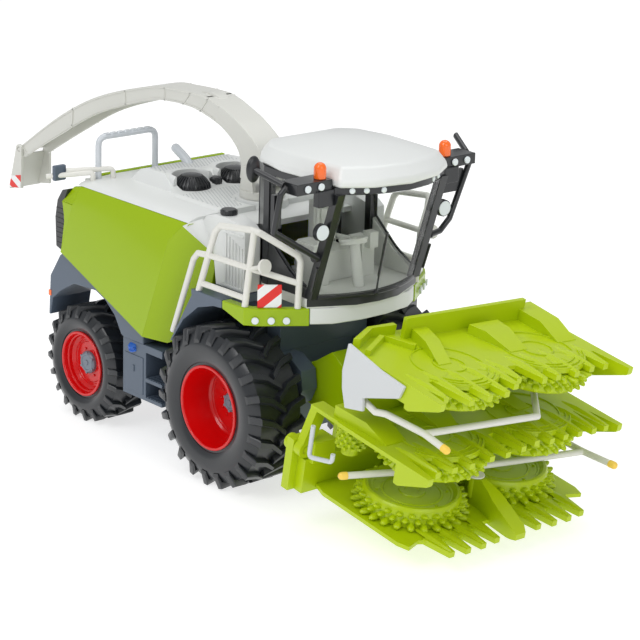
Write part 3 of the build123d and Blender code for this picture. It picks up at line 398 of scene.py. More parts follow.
# Forms drawn in millimetres
class Form:
    """Closed shapes gathered into one mesh."""

    def __init__(self):
        self.shape = bmesh.new()

    def skin(self, rings, loop=False):
        """Join rings of points by faces, and cap the ends unless the rings make a loop."""
        rows = [[self.shape.verts.new(point) for point in ring] for ring in rings]
        pairs = list(zip(rows, rows[1:]))
        if loop:
            pairs.append((rows[-1], rows[0]))
        for low, high in pairs:
            for i in range(len(low)):
                j = (i + 1) % len(low)
                self.shape.faces.new((low[i], low[j], high[j], high[i]))
        if not loop:
            self.shape.faces.new(rows[0][::-1])
            self.shape.faces.new(rows[-1])

    def prism(self, outline, move):
        """A flat outline of points, moved through space."""
        move = Vector(move)
        points = [Vector(point) for point in outline]
        self.skin([points, [point + move for point in points]])

    def box(self, x0, x1, y0, y1, z0, z1):
        self.prism([(x0, y0, z0), (x1, y0, z0), (x1, y1, z0), (x0, y1, z0)], (0, 0, z1 - z0))

    def rod(self, a, b, r, sides=16):
        """A round rod from a to b."""
        a, b = Vector(a), Vector(b)
        turn = (b - a).to_track_quat("Z", "Y")
        circle = [turn @ Vector((r * cos(t), r * sin(t), 0)) for t in turns(sides)]
        self.skin([[centre + point for point in circle] for centre in (a, b)])

    def tube(self, points, r, bend=4.0, sides=14):
        """A round bar through the points, with each corner bent round."""
        path = rounded([Vector(point) for point in points], bend)
        rings = []
        for k, point in enumerate(path):
            ahead = (path[min(k + 1, len(path) - 1)] - path[max(k - 1, 0)]).normalized()
            if k == 0:
                side = ahead.orthogonal().normalized()
            else:
                side = (side - ahead * side.dot(ahead)).normalized()
            other = ahead.cross(side)
            rings.append([point + r * (side * cos(t) + other * sin(t)) for t in turns(sides)])
        self.skin(rings)

    def turned(self, profile, place=(0, 0, 0), axis=(0, 0, 1), sides=48, start=0.0, sweep=2 * pi):
        """A body of revolution: profile holds (radius, height) along axis from place."""
        turn = basis(axis)
        place = Vector(place)
        whole = sweep > radians(359)
        steps = sides if whole else sides + 1
        rings = []
        for k in range(steps):
            t = start + sweep * k / sides
            rings.append([place + turn @ Vector((r * cos(t), r * sin(t), h)) for r, h in profile])
        self.skin(rings, loop=whole)

    def ribbed_cap(self, profile, place, axis, ribs, foot, length, r, sides=48):
        """A turned cap with upright ribs round it: foot holds the ribs' (radius, height)."""
        turn = basis(axis)
        up = Vector(axis).normalized()
        self.turned(profile, place, axis, sides)
        for t in turns(ribs):
            low = Vector(place) + turn @ Vector((foot[0] * cos(t), foot[0] * sin(t), foot[1]))
            self.rod(low, low + up * length, r, sides=6)

    def mesh(self, name, matrix):
        bmesh.ops.transform(self.shape, matrix=matrix, verts=self.shape.verts)
        bmesh.ops.remove_doubles(self.shape, verts=self.shape.verts, dist=MERGE)
        flat = [face for face in self.shape.faces if face.calc_area() < SLIVER_AREA]
        bmesh.ops.delete(self.shape, geom=flat, context="FACES")
        bmesh.ops.recalc_face_normals(self.shape, faces=self.shape.faces)
        bmesh.ops.transform(self.shape, matrix=TO_SCENE, verts=self.shape.verts)
        mesh = bpy.data.meshes.new(name)
        self.shape.to_mesh(mesh)
        self.shape.free()
        return mesh


def turns(count, shift=0.0):
    """Angles of places spread evenly round a circle, the first one shifted by a share of a step."""
    return [2 * pi * (k + shift) / count for k in range(count)]


def basis(axis):
    """A turn that takes +Z to axis and keeps +X as near as it can."""
    up = Vector(axis).normalized()
    first = Vector((1, 0, 0)) if abs(up.x) < 0.9 else Vector((0, 1, 0))
    first = (first - up * first.dot(up)).normalized()
    return Matrix((first, up.cross(first), up)).transposed()


def rounded(points, bend):
    """The points of a path with an arc of about radius bend at each corner."""
    path = [points[0]]
    for before, corner, after in zip(points, points[1:], points[2:]):
        back, ahead = (before - corner), (after - corner)
        reach = min(bend, back.length * 0.45, ahead.length * 0.45)
        first, last = corner + back.normalized() * reach, corner + ahead.normalized() * reach
        for share in (0, 0.25, 0.5, 0.75, 1):
            rest = 1 - share
            path.append(first * rest ** 2 + corner * 2 * share * rest + last * share ** 2)
    return path + [points[-1]]


def between(p, q, r, s, t):
    """The value a share t of the way from q to r, on a smooth line through four values."""
    square = 2 * p - 5 * q + 4 * r - s
    cube = 3 * q - p - 3 * r + s
    return 0.5 * (2 * q + (r - p) * t + square * t * t + cube * t ** 3)


def smooth_curve(points, steps):
    """A smooth line through points in a plane, with so many steps from each point to the next."""
    line = []
    padded = [points[0], *points, points[-1]]
    for four in zip(padded, padded[1:], padded[2:], padded[3:]):
        for k in range(steps):
            line.append(tuple(between(*values, k / steps) for values in zip(*four)))
    return line + [tuple(points[-1])]


def mirrored(side):
    return Matrix.Diagonal((1, side, 1, 1))


# Pieces
def finished(piece, edge, segments=2):
    """Smooth faces, sharp creases and rounded edges."""
    mesh = piece.data
    mesh.polygons.foreach_set("use_smooth", [True] * len(mesh.polygons))
    mesh.set_sharp_from_angle(angle=SHARP_ANGLE)
    if edge:
        bevel = piece.modifiers.new("rounded_edges", "BEVEL")
        bevel.limit_method = "ANGLE"
        bevel.angle_limit = SHARP_ANGLE
        bevel.width = edge * MM
        bevel.segments = segments
        bevel.harden_normals = True


def add(name, form, body, slot, matrix=Matrix(), edge=0.0, material=None, replaces=()):
    """Put a drawn form into the scene as one piece."""
    mesh = form.mesh(name, matrix)
    mesh.materials.append(material or MATERIALS[slot])
    piece = bpy.data.objects.new(name, mesh)
    scene.collection.objects.link(piece)
    finished(piece, edge)
    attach(piece, body)
    if replaces:
        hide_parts(*replaces)


def dressed(node, slot, edge=EDGE, segments=2, side=0, tag="finish", material=None):
    """A copy of a node's surface with rounded edges; side keeps only the solids on that side."""
    source = frame["nodes"][node]
    mesh = source.data.copy()
    if "custom_normal" in mesh.attributes:
        mesh.attributes.remove(mesh.attributes["custom_normal"])
    mesh.materials.clear()
    mesh.materials.append(material or MATERIALS[slot])
    shape = bmesh.new()
    shape.from_mesh(mesh)
    if side:
        away = [vert for vert in shape.verts if vert.co.y * side <= 0]
        bmesh.ops.delete(shape, geom=away, context="VERTS")
    bmesh.ops.remove_doubles(shape, verts=shape.verts, dist=FINE_MERGE * MM)
    bmesh.ops.dissolve_limit(shape, angle_limit=FLAT_ANGLE, verts=shape.verts, edges=shape.edges)
    shape.to_mesh(mesh)
    shape.free()
    piece = bpy.data.objects.new(f"{node}_{tag}", mesh)
    scene.collection.objects.link(piece)
    finished(piece, edge, segments)
    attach(piece, source["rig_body"])
    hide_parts(node)


# Nodes that are drawn anew further on, the rounding of the softer mouldings, and finishes of their own
REDRAWN = {
    "front_tyre_left", "front_tyre_right", "rear_tyre_left", "rear_tyre_right",
    "front_rim_left", "front_rim_right", "rear_rim_left", "rear_rim_right",
    "air_intakes", "hood_rails", "spout_chute", "cab_rear_walls", "door_lowers",
    "centre_disc_left", "centre_disc_right", "wing_left_disc_inner", "wing_left_disc_outer",
    "wing_right_disc_inner", "wing_right_disc_outer",
}
SOFT_EDGES = {
    "cab_roof": 2.2, "cab_interior": 1.6, "hood_top": 1.2, "front_bumper": 1.0, "side_housings": 1.4,
    "side_panels": 0.9, "corner_panels": 0.9, "front_fenders": 0.9, "rear_fenders": 0.9,
    "wing_left": 1.1, "wing_right": 1.1, "header_base": 1.1,
}
OWN_FINISH = {"end_shield": SHIELD_GREY, "spout_turret": SPOUT_WHITE, "spout_flap": SPOUT_WHITE}
# Nodes whose left and right solids have different finishes: the slot on the left and on the right
TWO_FINISHES = {"cab_rear_walls": ("clear", "black"), "door_lowers": ("cab_grey", "black")}


def construction():
    """The construction's own pieces with their finish."""
    for part in frame["record"]["subparts"]:
        node, slot = part["node"], part["material_slot"]
        if node in SOFT_EDGES:
            dressed(node, slot, SOFT_EDGES[node], segments=3)
        elif node not in REDRAWN:
            dressed(node, slot, material=OWN_FINISH.get(node))
    for node, slots in TWO_FINISHES.items():
        for slot, (label, side) in zip(slots, SIDE.items()):
            dressed(node, slot, side=side, tag=label)


# Wheels, drawn about Z
def tyre(wheel):
    """A tyre with ringed walls and two staggered rows of bent lugs."""
    r, half, rim_r = wheel["r"], wheel["width"] / 2, wheel["rim_r"]
    k = r / FRONT_WHEEL["r"]
    tread_r, wall_r = r - LUG_H * k, r - WALL_DROP * k
    outer = [
        (tread_r, 0), (tread_r, half - SHOULDER * k), (tread_r - 1.6 * k, half - 4.4 * k),
        (wall_r, half - 1.3), (wall_r - 2.4 * k, half - 0.45), (wall_r - 5 * k, half - 0.05),
        (wall_r - 8 * k, half - 0.2), (rim_r + 6 * k, half - 0.9), (rim_r + 3.4 * k, half - 1.9),
        (rim_r + 2.2 * k, half - 2.5), (rim_r + 1.8 * k, half - 3.2), (rim_r + 0.05, half - 3.2),
    ]
    form = Form()
    form.turned(outer + [(radius, -w) for radius, w in reversed(outer[1:])], sides=96)
    # A lug from the middle of the tread to the wall: sideways place, where its two edges lie round
    # the front tyre's tread, and the radius of its crest and foot
    crest_r, foot_r = r - 0.01, tread_r - 0.8
    lug = (
        (-0.083 * half, -9.5, -4.5, crest_r, foot_r),
        (0.35 * half, -1.4, 4.4, crest_r, foot_r),
        (half - 3.6 * k, 2.4, 8.4, crest_r, foot_r),
        (half - 0.3, 3.0, 9.5, wall_r + 2 * k, wall_r - k),
    )
    for row, shift in ((1, 0), (-1, 0.5)):
        for turn in turns(wheel["lugs"], shift):
            form.skin([lug_section(*station, row, turn, k / r) for station in lug])
    return form


def lug_section(w, first, last, crest_r, foot_r, row, turn, angle_per_mm):
    """The cut through a lug at a sideways place: a crest with bevelled flanks."""
    flank_r = (crest_r * 2 + foot_r) / 3
    outline = (
        (foot_r, first - 0.7), (flank_r, first), (crest_r, first + 0.9),
        (crest_r, last - 0.9), (flank_r, last), (foot_r, last + 0.7),
    )
    angles = [(radius, turn - along * angle_per_mm) for radius, along in outline]
    return [(radius * cos(a), radius * sin(a), w * row) for radius, a in angles]


def rim(wheel):
    """A dished rim with a lip, a stepped barrel, a ringed face and its bolts."""
    half, rim_r, steps = wheel["width"] / 2, wheel["rim_r"], wheel["steps"]
    outer = half - RIM_INSET
    face = outer - wheel["dish"]
    barrel_r, face_r = rim_r - 5, rim_r - 6.5
    profile = [
        (BORE_R, face - 4), (barrel_r, face - 4), (barrel_r, 2 - half), (rim_r, 2 - half),
        (rim_r, outer - 0.4), (rim_r - 0.4, outer), (rim_r - 1.8, outer), (rim_r - 2.2, outer - 0.5),
    ]
    drop = (wheel["dish"] - 2.5) / steps
    for step in range(steps):
        radius, depth = rim_r - 2.4 - step * 2.6 / steps, outer - 1.2 - drop * step
        profile += [(radius, depth), (radius - 0.4, depth - drop + 0.6)]
    profile += [
        (barrel_r - 0.2, face + 1.2), (face_r, face), (face_r - 1.2, face), (face_r - 1.6, face - 0.6),
        (face_r - 2.8, face - 0.6), (face_r - 3.2, face), (HUB_SEAT_R + 0.4, face),
        (HUB_SEAT_R, face + 0.8), (BORE_R, face + 0.8),
    ]
    form = Form()
    form.turned(profile, sides=72)
    bolt = [(0, 0), (1.1, 0), (1.1, 0.9), (0.7, 1.2), (0, 1.2)]
    for turn in turns(wheel["bolts"]):
        form.turned(bolt, (wheel["bolts_r"] * cos(turn), wheel["bolts_r"] * sin(turn), face - 0.2), sides=6)
    return form


def hub(wheel):
    """The grey hub plate with its studs and centre."""
    r = wheel["hub_r"]
    face = wheel["width"] / 2 - RIM_INSET - wheel["dish"]
    form = Form()
    form.turned([
        (0, face + 0.4), (r, face + 0.4), (r, face + 2.4), (r - 0.8, face + 3.2), (r - 1.6, face + 4),
        (r - 2.8, face + 4), (r - 3.2, face + 3.4), (2.2, face + 3.4), (1.8, face + 4.2), (0, face + 4.3),
    ], sides=40)
    studs_r = r - 0.9
    for turn in turns(6, 0.5):
        place = (studs_r * cos(turn), studs_r * sin(turn), face + 1)
        form.turned([(0, 0), (1.1, 0), (1.1, 2.9), (0, 3.1)], place, sides=8)
    return form


def wheels():
    for end, wheel in (("front", FRONT_WHEEL), ("rear", REAR_WHEEL)):
        centre = Matrix.Translation((wheel["x"], wheel["y"], wheel["r"]))
        axle = centre @ Matrix.Rotation(-pi / 2, 4, "X")
        for label, side in SIDE.items():
            place = mirrored(side) @ axle
            body = f"{end}_wheel_{label}"
            add(f"{end}_tyre_{label}_tread", tyre(wheel), body, "tyre_black", place,
                replaces=(f"{end}_tyre_{label}",))
            add(f"{end}_rim_{label}_dish", rim(wheel), body, "rim_red", place, edge=0.15,
                replaces=(f"{end}_rim_{label}",))
            add(f"{end}_hub_{label}", hub(wheel), body, "slate", place, edge=0.15, material=HUB_GREY)


# Lower body
def lower_body(label):
    """Locker door with its latch, side reflector and step treads, drawn on the left."""
    place = mirrored(SIDE[label])
    door = Form()
    door.box(*DOOR_X, LOCKER_Y, LOCKER_Y + 0.6, *DOOR_Z)
    door.box(-105.5, -103.5, LOCKER_Y + 0.5, LOCKER_Y + 1.3, 58, 63)
    add(f"locker_door_{label}", door, "vehicle", "slate", place, edge=0.25)
    reflector = Form()
    reflector.box(-213.6, -210.4, 80.8, 81.8, 91.5, 96)
    add(f"side_reflector_{label}", reflector, "vehicle", "beacon_orange", place, edge=0.3)
    treads = Form()
    for z in STEPS_Z:
        for step in range(6):
            x = STEPS_X + TREAD_PITCH * step
            treads.box(x, x + TREAD_W, *STEPS_Y, z, z + 0.5)
    add(f"step_treads_{label}", treads, "vehicle", "slate", place)


def tank_cap():
    cap = Form()
    profile = [(0, 0), (4.6, 0), (4.6, 1), (3.8, 1.2), (3.8, 3.6), (3.2, 4.4), (0, 4.6)]
    cap.ribbed_cap(profile, TANK_CAP, TANK_CAP_AXIS, ribs=10, foot=(3.8, 1.2), length=2.6, r=0.45)
    add("tank_cap", cap, "vehicle", "slate", edge=0.1, material=CAP_BLUE)


# Panels and side housings
def panel_trim(label):
    """The panel's rear corner and grille, its closing strip, and the housing's ribs, drawn on the left."""
    place = mirrored(SIDE[label])
    y, edge_y = PANEL_Y, PANEL_EDGE_Y
    corner = Form()
    lower = [(-192.8, y, 131.8), (-176.6, y, 172), (-189, y, 172.4), (-188.4, y, 157)]
    upper = [(-176.8, y, 172), (-173.8, edge_y, 186.4), (-183, edge_y, 184.5), (-189, y, 172.4)]
    corner.prism(lower, (0, -PANEL_T, 0))
    corner.prism(upper, (0, -PANEL_T, 0))
    add(f"panel_corner_{label}", corner, "vehicle", "body_lime", place, edge=0.8)

    grille = Form()
    outline = (
        (-193.4, 133), (-188.6, 158), (-189, 173), (-184, 183),
        (-191, 181), (-197.5, 172), (-200.5, 158), (-199.5, 135),
    )
    grille.prism([(x, GRILLE_Y, z) for x, z in outline], (0, -GRILLE_T, 0))
    for rib in range(8):
        z = 137.5 + rib * GRILLE_RIB_PITCH
        grille.box(-198.6, -190, 79, GRILLE_Y + 0.4, z, z + 1.3)
    add(f"rear_side_grille_{label}", grille, "vehicle", "black", place, edge=0.2)

    cover = Form()
    outer = [
        (-41.5, 79, 187), (-45, 81.8, 184.7), (-29.4, 71.2, 170.2), (-28.4, HOUSING_Y, 171),
        (-40.6, HOUSING_Y, 189),
    ]
    cover.skin([outer, [(x - 2.5, y - 3, z - 4) for x, y, z in outer]])
    add(f"housing_cover_{label}", cover, "vehicle", "off_white", place, edge=0.4)

    ribs = Form()
    for rib in range(6):
        x = HOUSING_RIB_X + rib * HOUSING_RIB_PITCH
        ribs.box(x, x + 1.3, HOUSING_Y, HOUSING_Y + 1.3, 147, 184 - rib * 1.5)
    for low, high in ((184.5, 186.3), (145, 147)):
        ribs.box(-16.5, 7, HOUSING_Y, HOUSING_Y + 1.5, low, high)
    add(f"housing_ribs_{label}", ribs, "vehicle", "off_white", place, edge=0.25)


def filler_cap():
    cap = Form()
    profile = [(0, 0), (FILLER_R, 0), (FILLER_R, 3.4), (FILLER_R - 0.7, 4.3), (0, 4.5)]
    cap.ribbed_cap(profile, FILLER_CAP, (0, 0, 1), ribs=16, foot=(FILLER_R, 0.5), length=3, r=0.4)
    add("filler_cap", cap, "vehicle", "black", edge=0.15)


# Hood
def intake_dome(form, y):
    """A dark dome with upright fins round a smooth crown."""
    place = Vector((INTAKE_X, y, HOOD_TOP_Z - 3))
    r = INTAKE_R
    form.turned([
        (0, 0), (r, 0), (r, 3.4), (r - 1.4, 3.8), (r - 1.4, 6), (r - 4.6, 9.6), (r - 6.5, 10.8),
        (r - 6.7, 12.1), (r - 9, 12.8), (0, 13),
    ], place)
    fin = (
        (r - 2, 3), (r - 0.1, 3.4), (r - 0.5, 5.6), (r - 3.6, 9.8), (r - 6.4, 12), (r - 7.5, 9), (r - 4, 5),
    )
    for turn in turns(FINS):
        out = Vector((cos(turn), sin(turn), 0))
        half = Vector((-sin(turn), cos(turn), 0)) * 0.55
        form.prism([place + out * radius + Vector((0, 0, h)) - half for radius, h in fin], half * 2)


def intakes():
    """Both domes, the small ribbed boss between them, and the hump's round lobes behind them."""
    domes = Form()
    for y in (-INTAKE_Y, INTAKE_Y):
        intake_dome(domes, y)
    boss = [(0, 0), (5, 0), (5, 5), (4, 6.2), (0, 6.8)]
    domes.ribbed_cap(boss, (INTAKE_X + 2, 0, HOOD_TOP_Z - 1), (0, 0, 1),
                     ribs=12, foot=(5, 1), length=4.5, r=0.5, sides=24)
    add("intake_domes", domes, "vehicle", "black", edge=0.1, replaces=("air_intakes",))
    lobes = Form()
    lobe = [(15.1, 0), (19.5, 0), (18.4, 8.2), (17, 10.2), (15.6, 10.8), (15.1, 10)]
    for y in (-INTAKE_Y, INTAKE_Y):
        place = (INTAKE_X, y, HOOD_TOP_Z - 0.5)
        lobes.turned(lobe, place, sides=28, start=radians(85), sweep=radians(190))
    add("hump_lobes", lobes, "vehicle", "off_white", edge=0.5)


def perforations(form, x0, x1, half, z, keep):
    """Staggered rows of small round perforations on a flat surface."""
    rows = int((x1 - x0) / HOLE_PITCH)
    columns = int(2 * half / HOLE_PITCH)
    hole = [(0, -0.3), (0.72, -0.3), (0.66, 0.1), (0, 0.1)]
    for i in range(rows + 1):
        x = x0 + i * HOLE_PITCH
        shift = HOLE_PITCH / 2 if i % 2 else 0
        for j in range(columns + 1):
            y = j * HOLE_PITCH + shift - half
            if keep(x, y):
                form.turned(hole, (x, y, z), sides=6)


def clear_of_turret(x, y):
    return (x - SPOUT_X) ** 2 + y ** 2 > TURRET_CLEAR_R ** 2 and abs(y) < 44


def clear_of_domes(x, y):
    return (x - INTAKE_X) ** 2 + (abs(y) - INTAKE_Y) ** 2 > DOME_CLEAR_R ** 2


def hood():
    deck = Form()
    perforations(deck, -95, -46, 42, HOOD_TOP_Z, clear_of_turret)
    perforations(deck, -144, -124, 35, HUMP_Z, clear_of_domes)
    # The perforations are shallow discs on the deck, and their grey is painted shade where the holes would be
    # dark
    add("deck_perforations", deck, "vehicle", "off_white", material=PAINTED_HOLE_SHADE)

    cowl = Form()
    for side in SIDE.values():
        foot = [(-98, 46, 190.2), (-44, 46, 190.2), (-44, 50, 190), (-98, 50, 190)]
        top = [(-98, 46, 192.4), (-44, 46, 192.4), (-44, 50, 191), (-98, 50, 191)]
        cowl.skin([[(x, side * y, z) for x, y, z in ring] for ring in (foot, top)])
    cowl.box(-181.5, -177.6, -70, 70, 184, 190)
    add("hood_cowl", cowl, "vehicle", "off_white", edge=0.4)

    rear_lip = Form()
    rear_lip.box(-181.8, -178.2, -64, 64, 187, 192)
    add("hood_rear_lip", rear_lip, "vehicle", "body_lime", edge=0.6)

    stub = Form()
    stub.tube([(-139.3, -1, 198), (-146, -1, 203.5), STUB_TOP], STUB_R, sides=18)
    crown = [(0, -1), (STUB_R, -1), (STUB_R - 0.2, 0.6), (STUB_R - 1.3, 1.8), (0, 2.4)]
    stub.turned(crown, STUB_TOP, (-12, -0.7, 6.1), sides=18)
    add("exhaust_stub", stub, "vehicle", "off_white", edge=0.5, material=SILVER)


def rails():
    """The silver hoop with its grip plates, and the handle and mirror at the rear corner."""
    hoop = Form()
    first, last = HOOP_Y
    corners = [(HOOP_X, first, 189.5), (HOOP_X, first, HOOP_Z), (HOOP_X, last, HOOP_Z), (HOOP_X, last, 190.4)]
    hoop.tube(corners, HOOP_R, bend=7)
    for plate in range(7):
        y = first + 6 + plate * 6.4
        hoop.box(HOOP_X - 2, HOOP_X + 2, y, y + 4.6, HOOP_Z + 1.6, HOOP_Z + 2.4)
    add("hood_hoop", hoop, "vehicle", "rail_white", edge=0.15, material=SILVER, replaces=("hood_rails",))
    handle = Form()
    handle.tube([(-173, -68.5, 189.8), (-173, -68.5, 196), (-194, -97, 192.6)], HANDLE_R, bend=5)
    handle.tube([(-168.3, -53, 190.2), (-168.3, -53, 198), (-186, -84, 197)], HANDLE_R, bend=5)
    add("rear_handle", handle, "vehicle", "rail_white", edge=0.15)
    head = Form()
    head.box(-191, -187, -94, -83, 189.5, 201.5)
    add("rear_mirror", head, "vehicle", "slate", edge=1.2)


# Spout
def spout_cuts():
    """Places across the spout from the turret to the flap: its back and its belly."""
    return list(zip(smooth_curve(BACK, SPOUT_STEPS), smooth_curve(BELLY, SPOUT_STEPS)))


def chute():
    """A closed trunk that turns into an arched channel, open below, with the flap's pin."""
    form = Form()
    half, inner = SPOUT_HALF, SPOUT_HALF - SPOUT_WALL
    cuts = spout_cuts()
    form.skin([
        [(x0, -half, z0), (x0, half, z0), (x1, half, z1), (x1, -half, z1)]
        for (x0, z0), (x1, z1) in cuts[: CHANNEL_FROM + 1]
    ])
    rings = []
    for (x0, z0), (x1, z1) in cuts[CHANNEL_FROM - 1:]:
        top, low = Vector((x0, 0, z0)), Vector((x1, 0, z1))
        roof = top + (low - top).normalized() * SPOUT_WALL
        corners = (
            (top, -half), (top, half), (low, half), (low, inner),
            (roof, inner), (roof, -inner), (low, -inner), (low, -half),
        )
        rings.append([point + Vector((0, y, 0)) for point, y in corners])
    form.skin(rings)
    x, z = FLAP_PIN
    form.rod((x, -15, z), (x, 15, z), 1.8)
    return form


def chute_trim():
    """Beads along the walls, upright ribs and the low hump on the back."""
    cuts = spout_cuts()[TRIM_FROM:]
    form = Form()
    for side in SIDE.values():
        y0, y1 = side * (SPOUT_HALF - 0.2), side * (SPOUT_HALF + 0.6)
        for along in (0.04, 0.84):
            rings = []
            for top, low in cuts:
                (ax, az), (bx, bz) = [Vector(top).lerp(Vector(low), share) for share in (along, along + 0.1)]
                rings.append([(ax, y0, az), (ax, y1, az), (bx, y1, bz), (bx, y0, bz)])
            form.skin(rings)
        for (x0, z0), (x1, z1) in cuts[4::7]:
            rib = [(x0 - 0.6, y0, z0), (x0 + 0.6, y0, z0), (x1 + 0.6, y0, z1), (x1 - 0.6, y0, z1)]
            form.prism(rib, (0, y1 - y0, 0))
    hump = []
    for share in (0, 0.12, 0.3, 0.7, 0.88, 1):
        swell = sin(pi * share) ** 0.6
        x, top, wide = -98 - 30 * share, 44.2 + 4.3 * swell, 5 + 2.5 * swell
        hump.append([(x, -wide, 43.5), (x, wide, 43.5), (x, wide - 2, top), (x, 2 - wide, top)])
    form.skin(hump)
    return form


def spout():
    place = Matrix.Translation((0, 0, SPOUT_PIN_Z))
    add("spout_channel", chute(), "spout", "off_white", place, edge=0.8, material=SPOUT_WHITE,
        replaces=("spout_chute",))
    add("spout_beads", chute_trim(), "spout", "off_white", place, edge=0.12, material=SPOUT_WHITE)
    stripes = Form()
    for side in SIDE.values():
        y = side * FLAP_EAR_Y
        ear = [(-362.2, y, -66), (-365.2, y, -76.4), (-349, y, -73.8), (-348.6, y, -63)]
        stripes.prism(ear, (0, side * 0.25, 0))
    edge = [(-362.8, -14, -67.5), (-365.5, -14, -76.2), (-365.9, -14, -76.1), (-363.2, -14, -67.4)]
    stripes.prism(edge, (0, 28, 0))
    add("flap_stripes", stripes, "spout_flap", "warning_stripe", place, material=FLAP_STRIPES)


# Cab
def on_eave(y):
    """The place on the roof's front edge at a sideways place, and the way out from it."""
    near, far = EAVE[1:] if abs(y) > EAVE[1][1] else EAVE[:2]
    share = (abs(y) - near[1]) / (far[1] - near[1])
    x = near[0] + (far[0] - near[0]) * share
    side = 1 if y > 0 else -1
    out = Vector((far[1] - near[1], (near[0] - far[0]) * side, 0)).normalized()
    return Vector((x, y, EAVE_Z)), out


def cab_lamps():
    lamps = Form()
    for y in EAVE_LAMPS_Y:
        place, out = on_eave(y)
        lamps.turned([(0, 0), (2.1, 0), (2.1, 0.9), (1.4, 1.5), (0, 1.8)], place - out * 0.2, out)
    add("roof_lamps", lamps, "vehicle", "lamp_white", edge=0.1)
    bezels = Form()
    x, y, z = SPOT_LAMP
    r = SPOT_LAMP_R
    bezel = [(r, 0), (r + 0.75, 0), (r + 0.55, 3.4), (r, 3.6)]
    for side in SIDE.values():
        bezels.turned(bezel, (x, side * y, z), (1, 0, 0), sides=40)
    add("lamp_bezels", bezels, "vehicle", "black", edge=0.1)


def windshield_trim():
    """Wiper, clamps on the front posts, the black sill and the window seals."""
    wiper = Form()
    wiper.tube([(79.4, -4, 151), (81, -4.6, 158), (91.6, -9.1, 191)], 0.7, bend=2, sides=8)
    wiper.tube([(84, -6.5, 165), (95, -9.6, 200)], 1.0, sides=6)
    wiper.turned([(0, 0), (2.2, 0), (1.8, 1.6), (0, 2)], (78.6, -4, 151.5), (0.9, 0, 0.3), sides=20)
    add("wiper", wiper, "vehicle", "black")

    clamps = Form()
    for side in SIDE.values():
        clamps.rod((70, side * 51, CLAMP_Z), (70, side * 56, CLAMP_Z), 3.4, sides=20)
        clamps.tube([(66, side * 53, 157), (72, side * 53.6, 176)], 1.2, sides=10)
    add("post_clamps", clamps, "vehicle", "black", edge=0.3)

    sill = Form()
    section = ((-3, 0), (0.8, 0), (1.6, 1), (1.2, 3), (-3, 3))
    rings = []
    for step in range(25):
        y = SILL_HALF * (step / 12 - 1)
        x = GLASS_X + GLASS_BULGE * (1 - (y / GLASS_HALF) ** 2)
        rings.append([(x + ahead, y, SILL_Z + up) for ahead, up in section])
    sill.skin(rings)
    rings = []
    for x, y in ((60.2, -52.2), (76.4, -20), (78.5, 0), (76.4, 20), (60.2, 52.2)):
        back_x, back_y = x - 3, y * 0.97
        rings.append([(back_x, back_y, 144), (x, y, 144), (x, y, 149.8), (back_x, back_y, 149.8)])
    sill.skin(rings)
    add("windshield_sill", sill, "vehicle", "black", edge=0.3)

    seals = Form()
    for side in SIDE.values():
        y = side * WINDOW_Y
        seals.tube([(17, y, 186), (40, y, 167), (57, y, 158.4)], 0.9, bend=6, sides=8)
        seals.tube([(17.2, y, 186), (17.2, y, 230)], 0.8, sides=8)
    add("window_seals", seals, "vehicle", "black")


def cab_inside():
    """What shows through the windows: the seat's bolsters, the steering wheel and the consoles."""
    seat = Form()
    for side in SIDE.values():
        seat.tube([(14, side * SEAT_HALF, 176), (32, side * SEAT_HALF, 177)], 2.2, sides=12)
        seat.box(SEAT_X, SEAT_X + 2.4, side * 8 - 1.6, side * 8 + 1.6, 174, 203)
    seat.box(SEAT_X - 0.2, SEAT_X + 1.8, -5, 5, 177, 200)
    add("seat_bolsters", seat, "vehicle", "cab_grey", edge=1.0)

    wheel = Form()
    x, y, z = STEERING
    r = STEERING_R
    ring = [(r - 1.7, -0.9), (r - 0.4, -0.9), (r, 0), (r - 0.4, 0.9), (r - 1.7, 0.9), (r - 2.1, 0)]
    wheel.turned(ring, STEERING, STEERING_AXIS, sides=40)
    boss = [(0, 0), (3, 0), (2.4, 1.6), (0, 2)]
    wheel.turned(boss, (x, y, z - 0.5), STEERING_AXIS, sides=24)
    for turn in (0.5, 2.6, 4.7):
        wheel.rod(STEERING, (x + 9 * cos(turn), y + 9 * sin(turn), z + 1.8 * cos(turn)), 0.8, sides=8)
    add("steering_wheel", wheel, "vehicle", "cab_grey", edge=0.1)

    console = Form()
    console.box(21, 41, -29, -17, 179.8, 181.4)
    console.tube([(43, -23, 187), (43.5, -23, 193)], 1.0, sides=10)
    console.turned([(0, 0), (1.8, 0.6), (2.2, 2.4), (1.2, 4), (0, 4.3)], (43.5, -23, 192), sides=16)
    console.box(24, 40, 17, 29, 149.5, 178)
    console.box(38, 46, 19, 27, 172, 184)
    add("armrests", console, "vehicle", "cab_grey", edge=0.9)


def mirror_head():
    """The oval mirror at the end of the right arm."""
    thick, wide, high = MIRROR_HALF
    rings = []
    for step in range(13):
        slope = pi * (0.02 + 0.96 * step / 12)
        spread = sin(slope) ** 0.6
        rings.append([
            MIRROR + Vector((-thick * cos(slope), wide * spread * cos(t), high * spread * sin(t)))
            for t in turns(32)
        ])
    head = Form()
    head.skin(rings)
    add("mirror_head", head, "vehicle", "black")


# Header
HEADER = Matrix.Translation((COMB_X, 0, COMB_Z)) @ Matrix.Rotation(HEADER_TILT, 4, "Y")


def folded(label):
    """From a wing's working place beside the centre to its folded place on top."""
    side = SIDE[label]
    turn = Matrix.Rotation(side * (pi - FOLD_ROLL[label]), 4, "X")
    pin = Matrix.Translation((0, side * HINGE_Y, FOLD_H[label]))
    return HEADER @ pin @ turn @ pin.inverted()


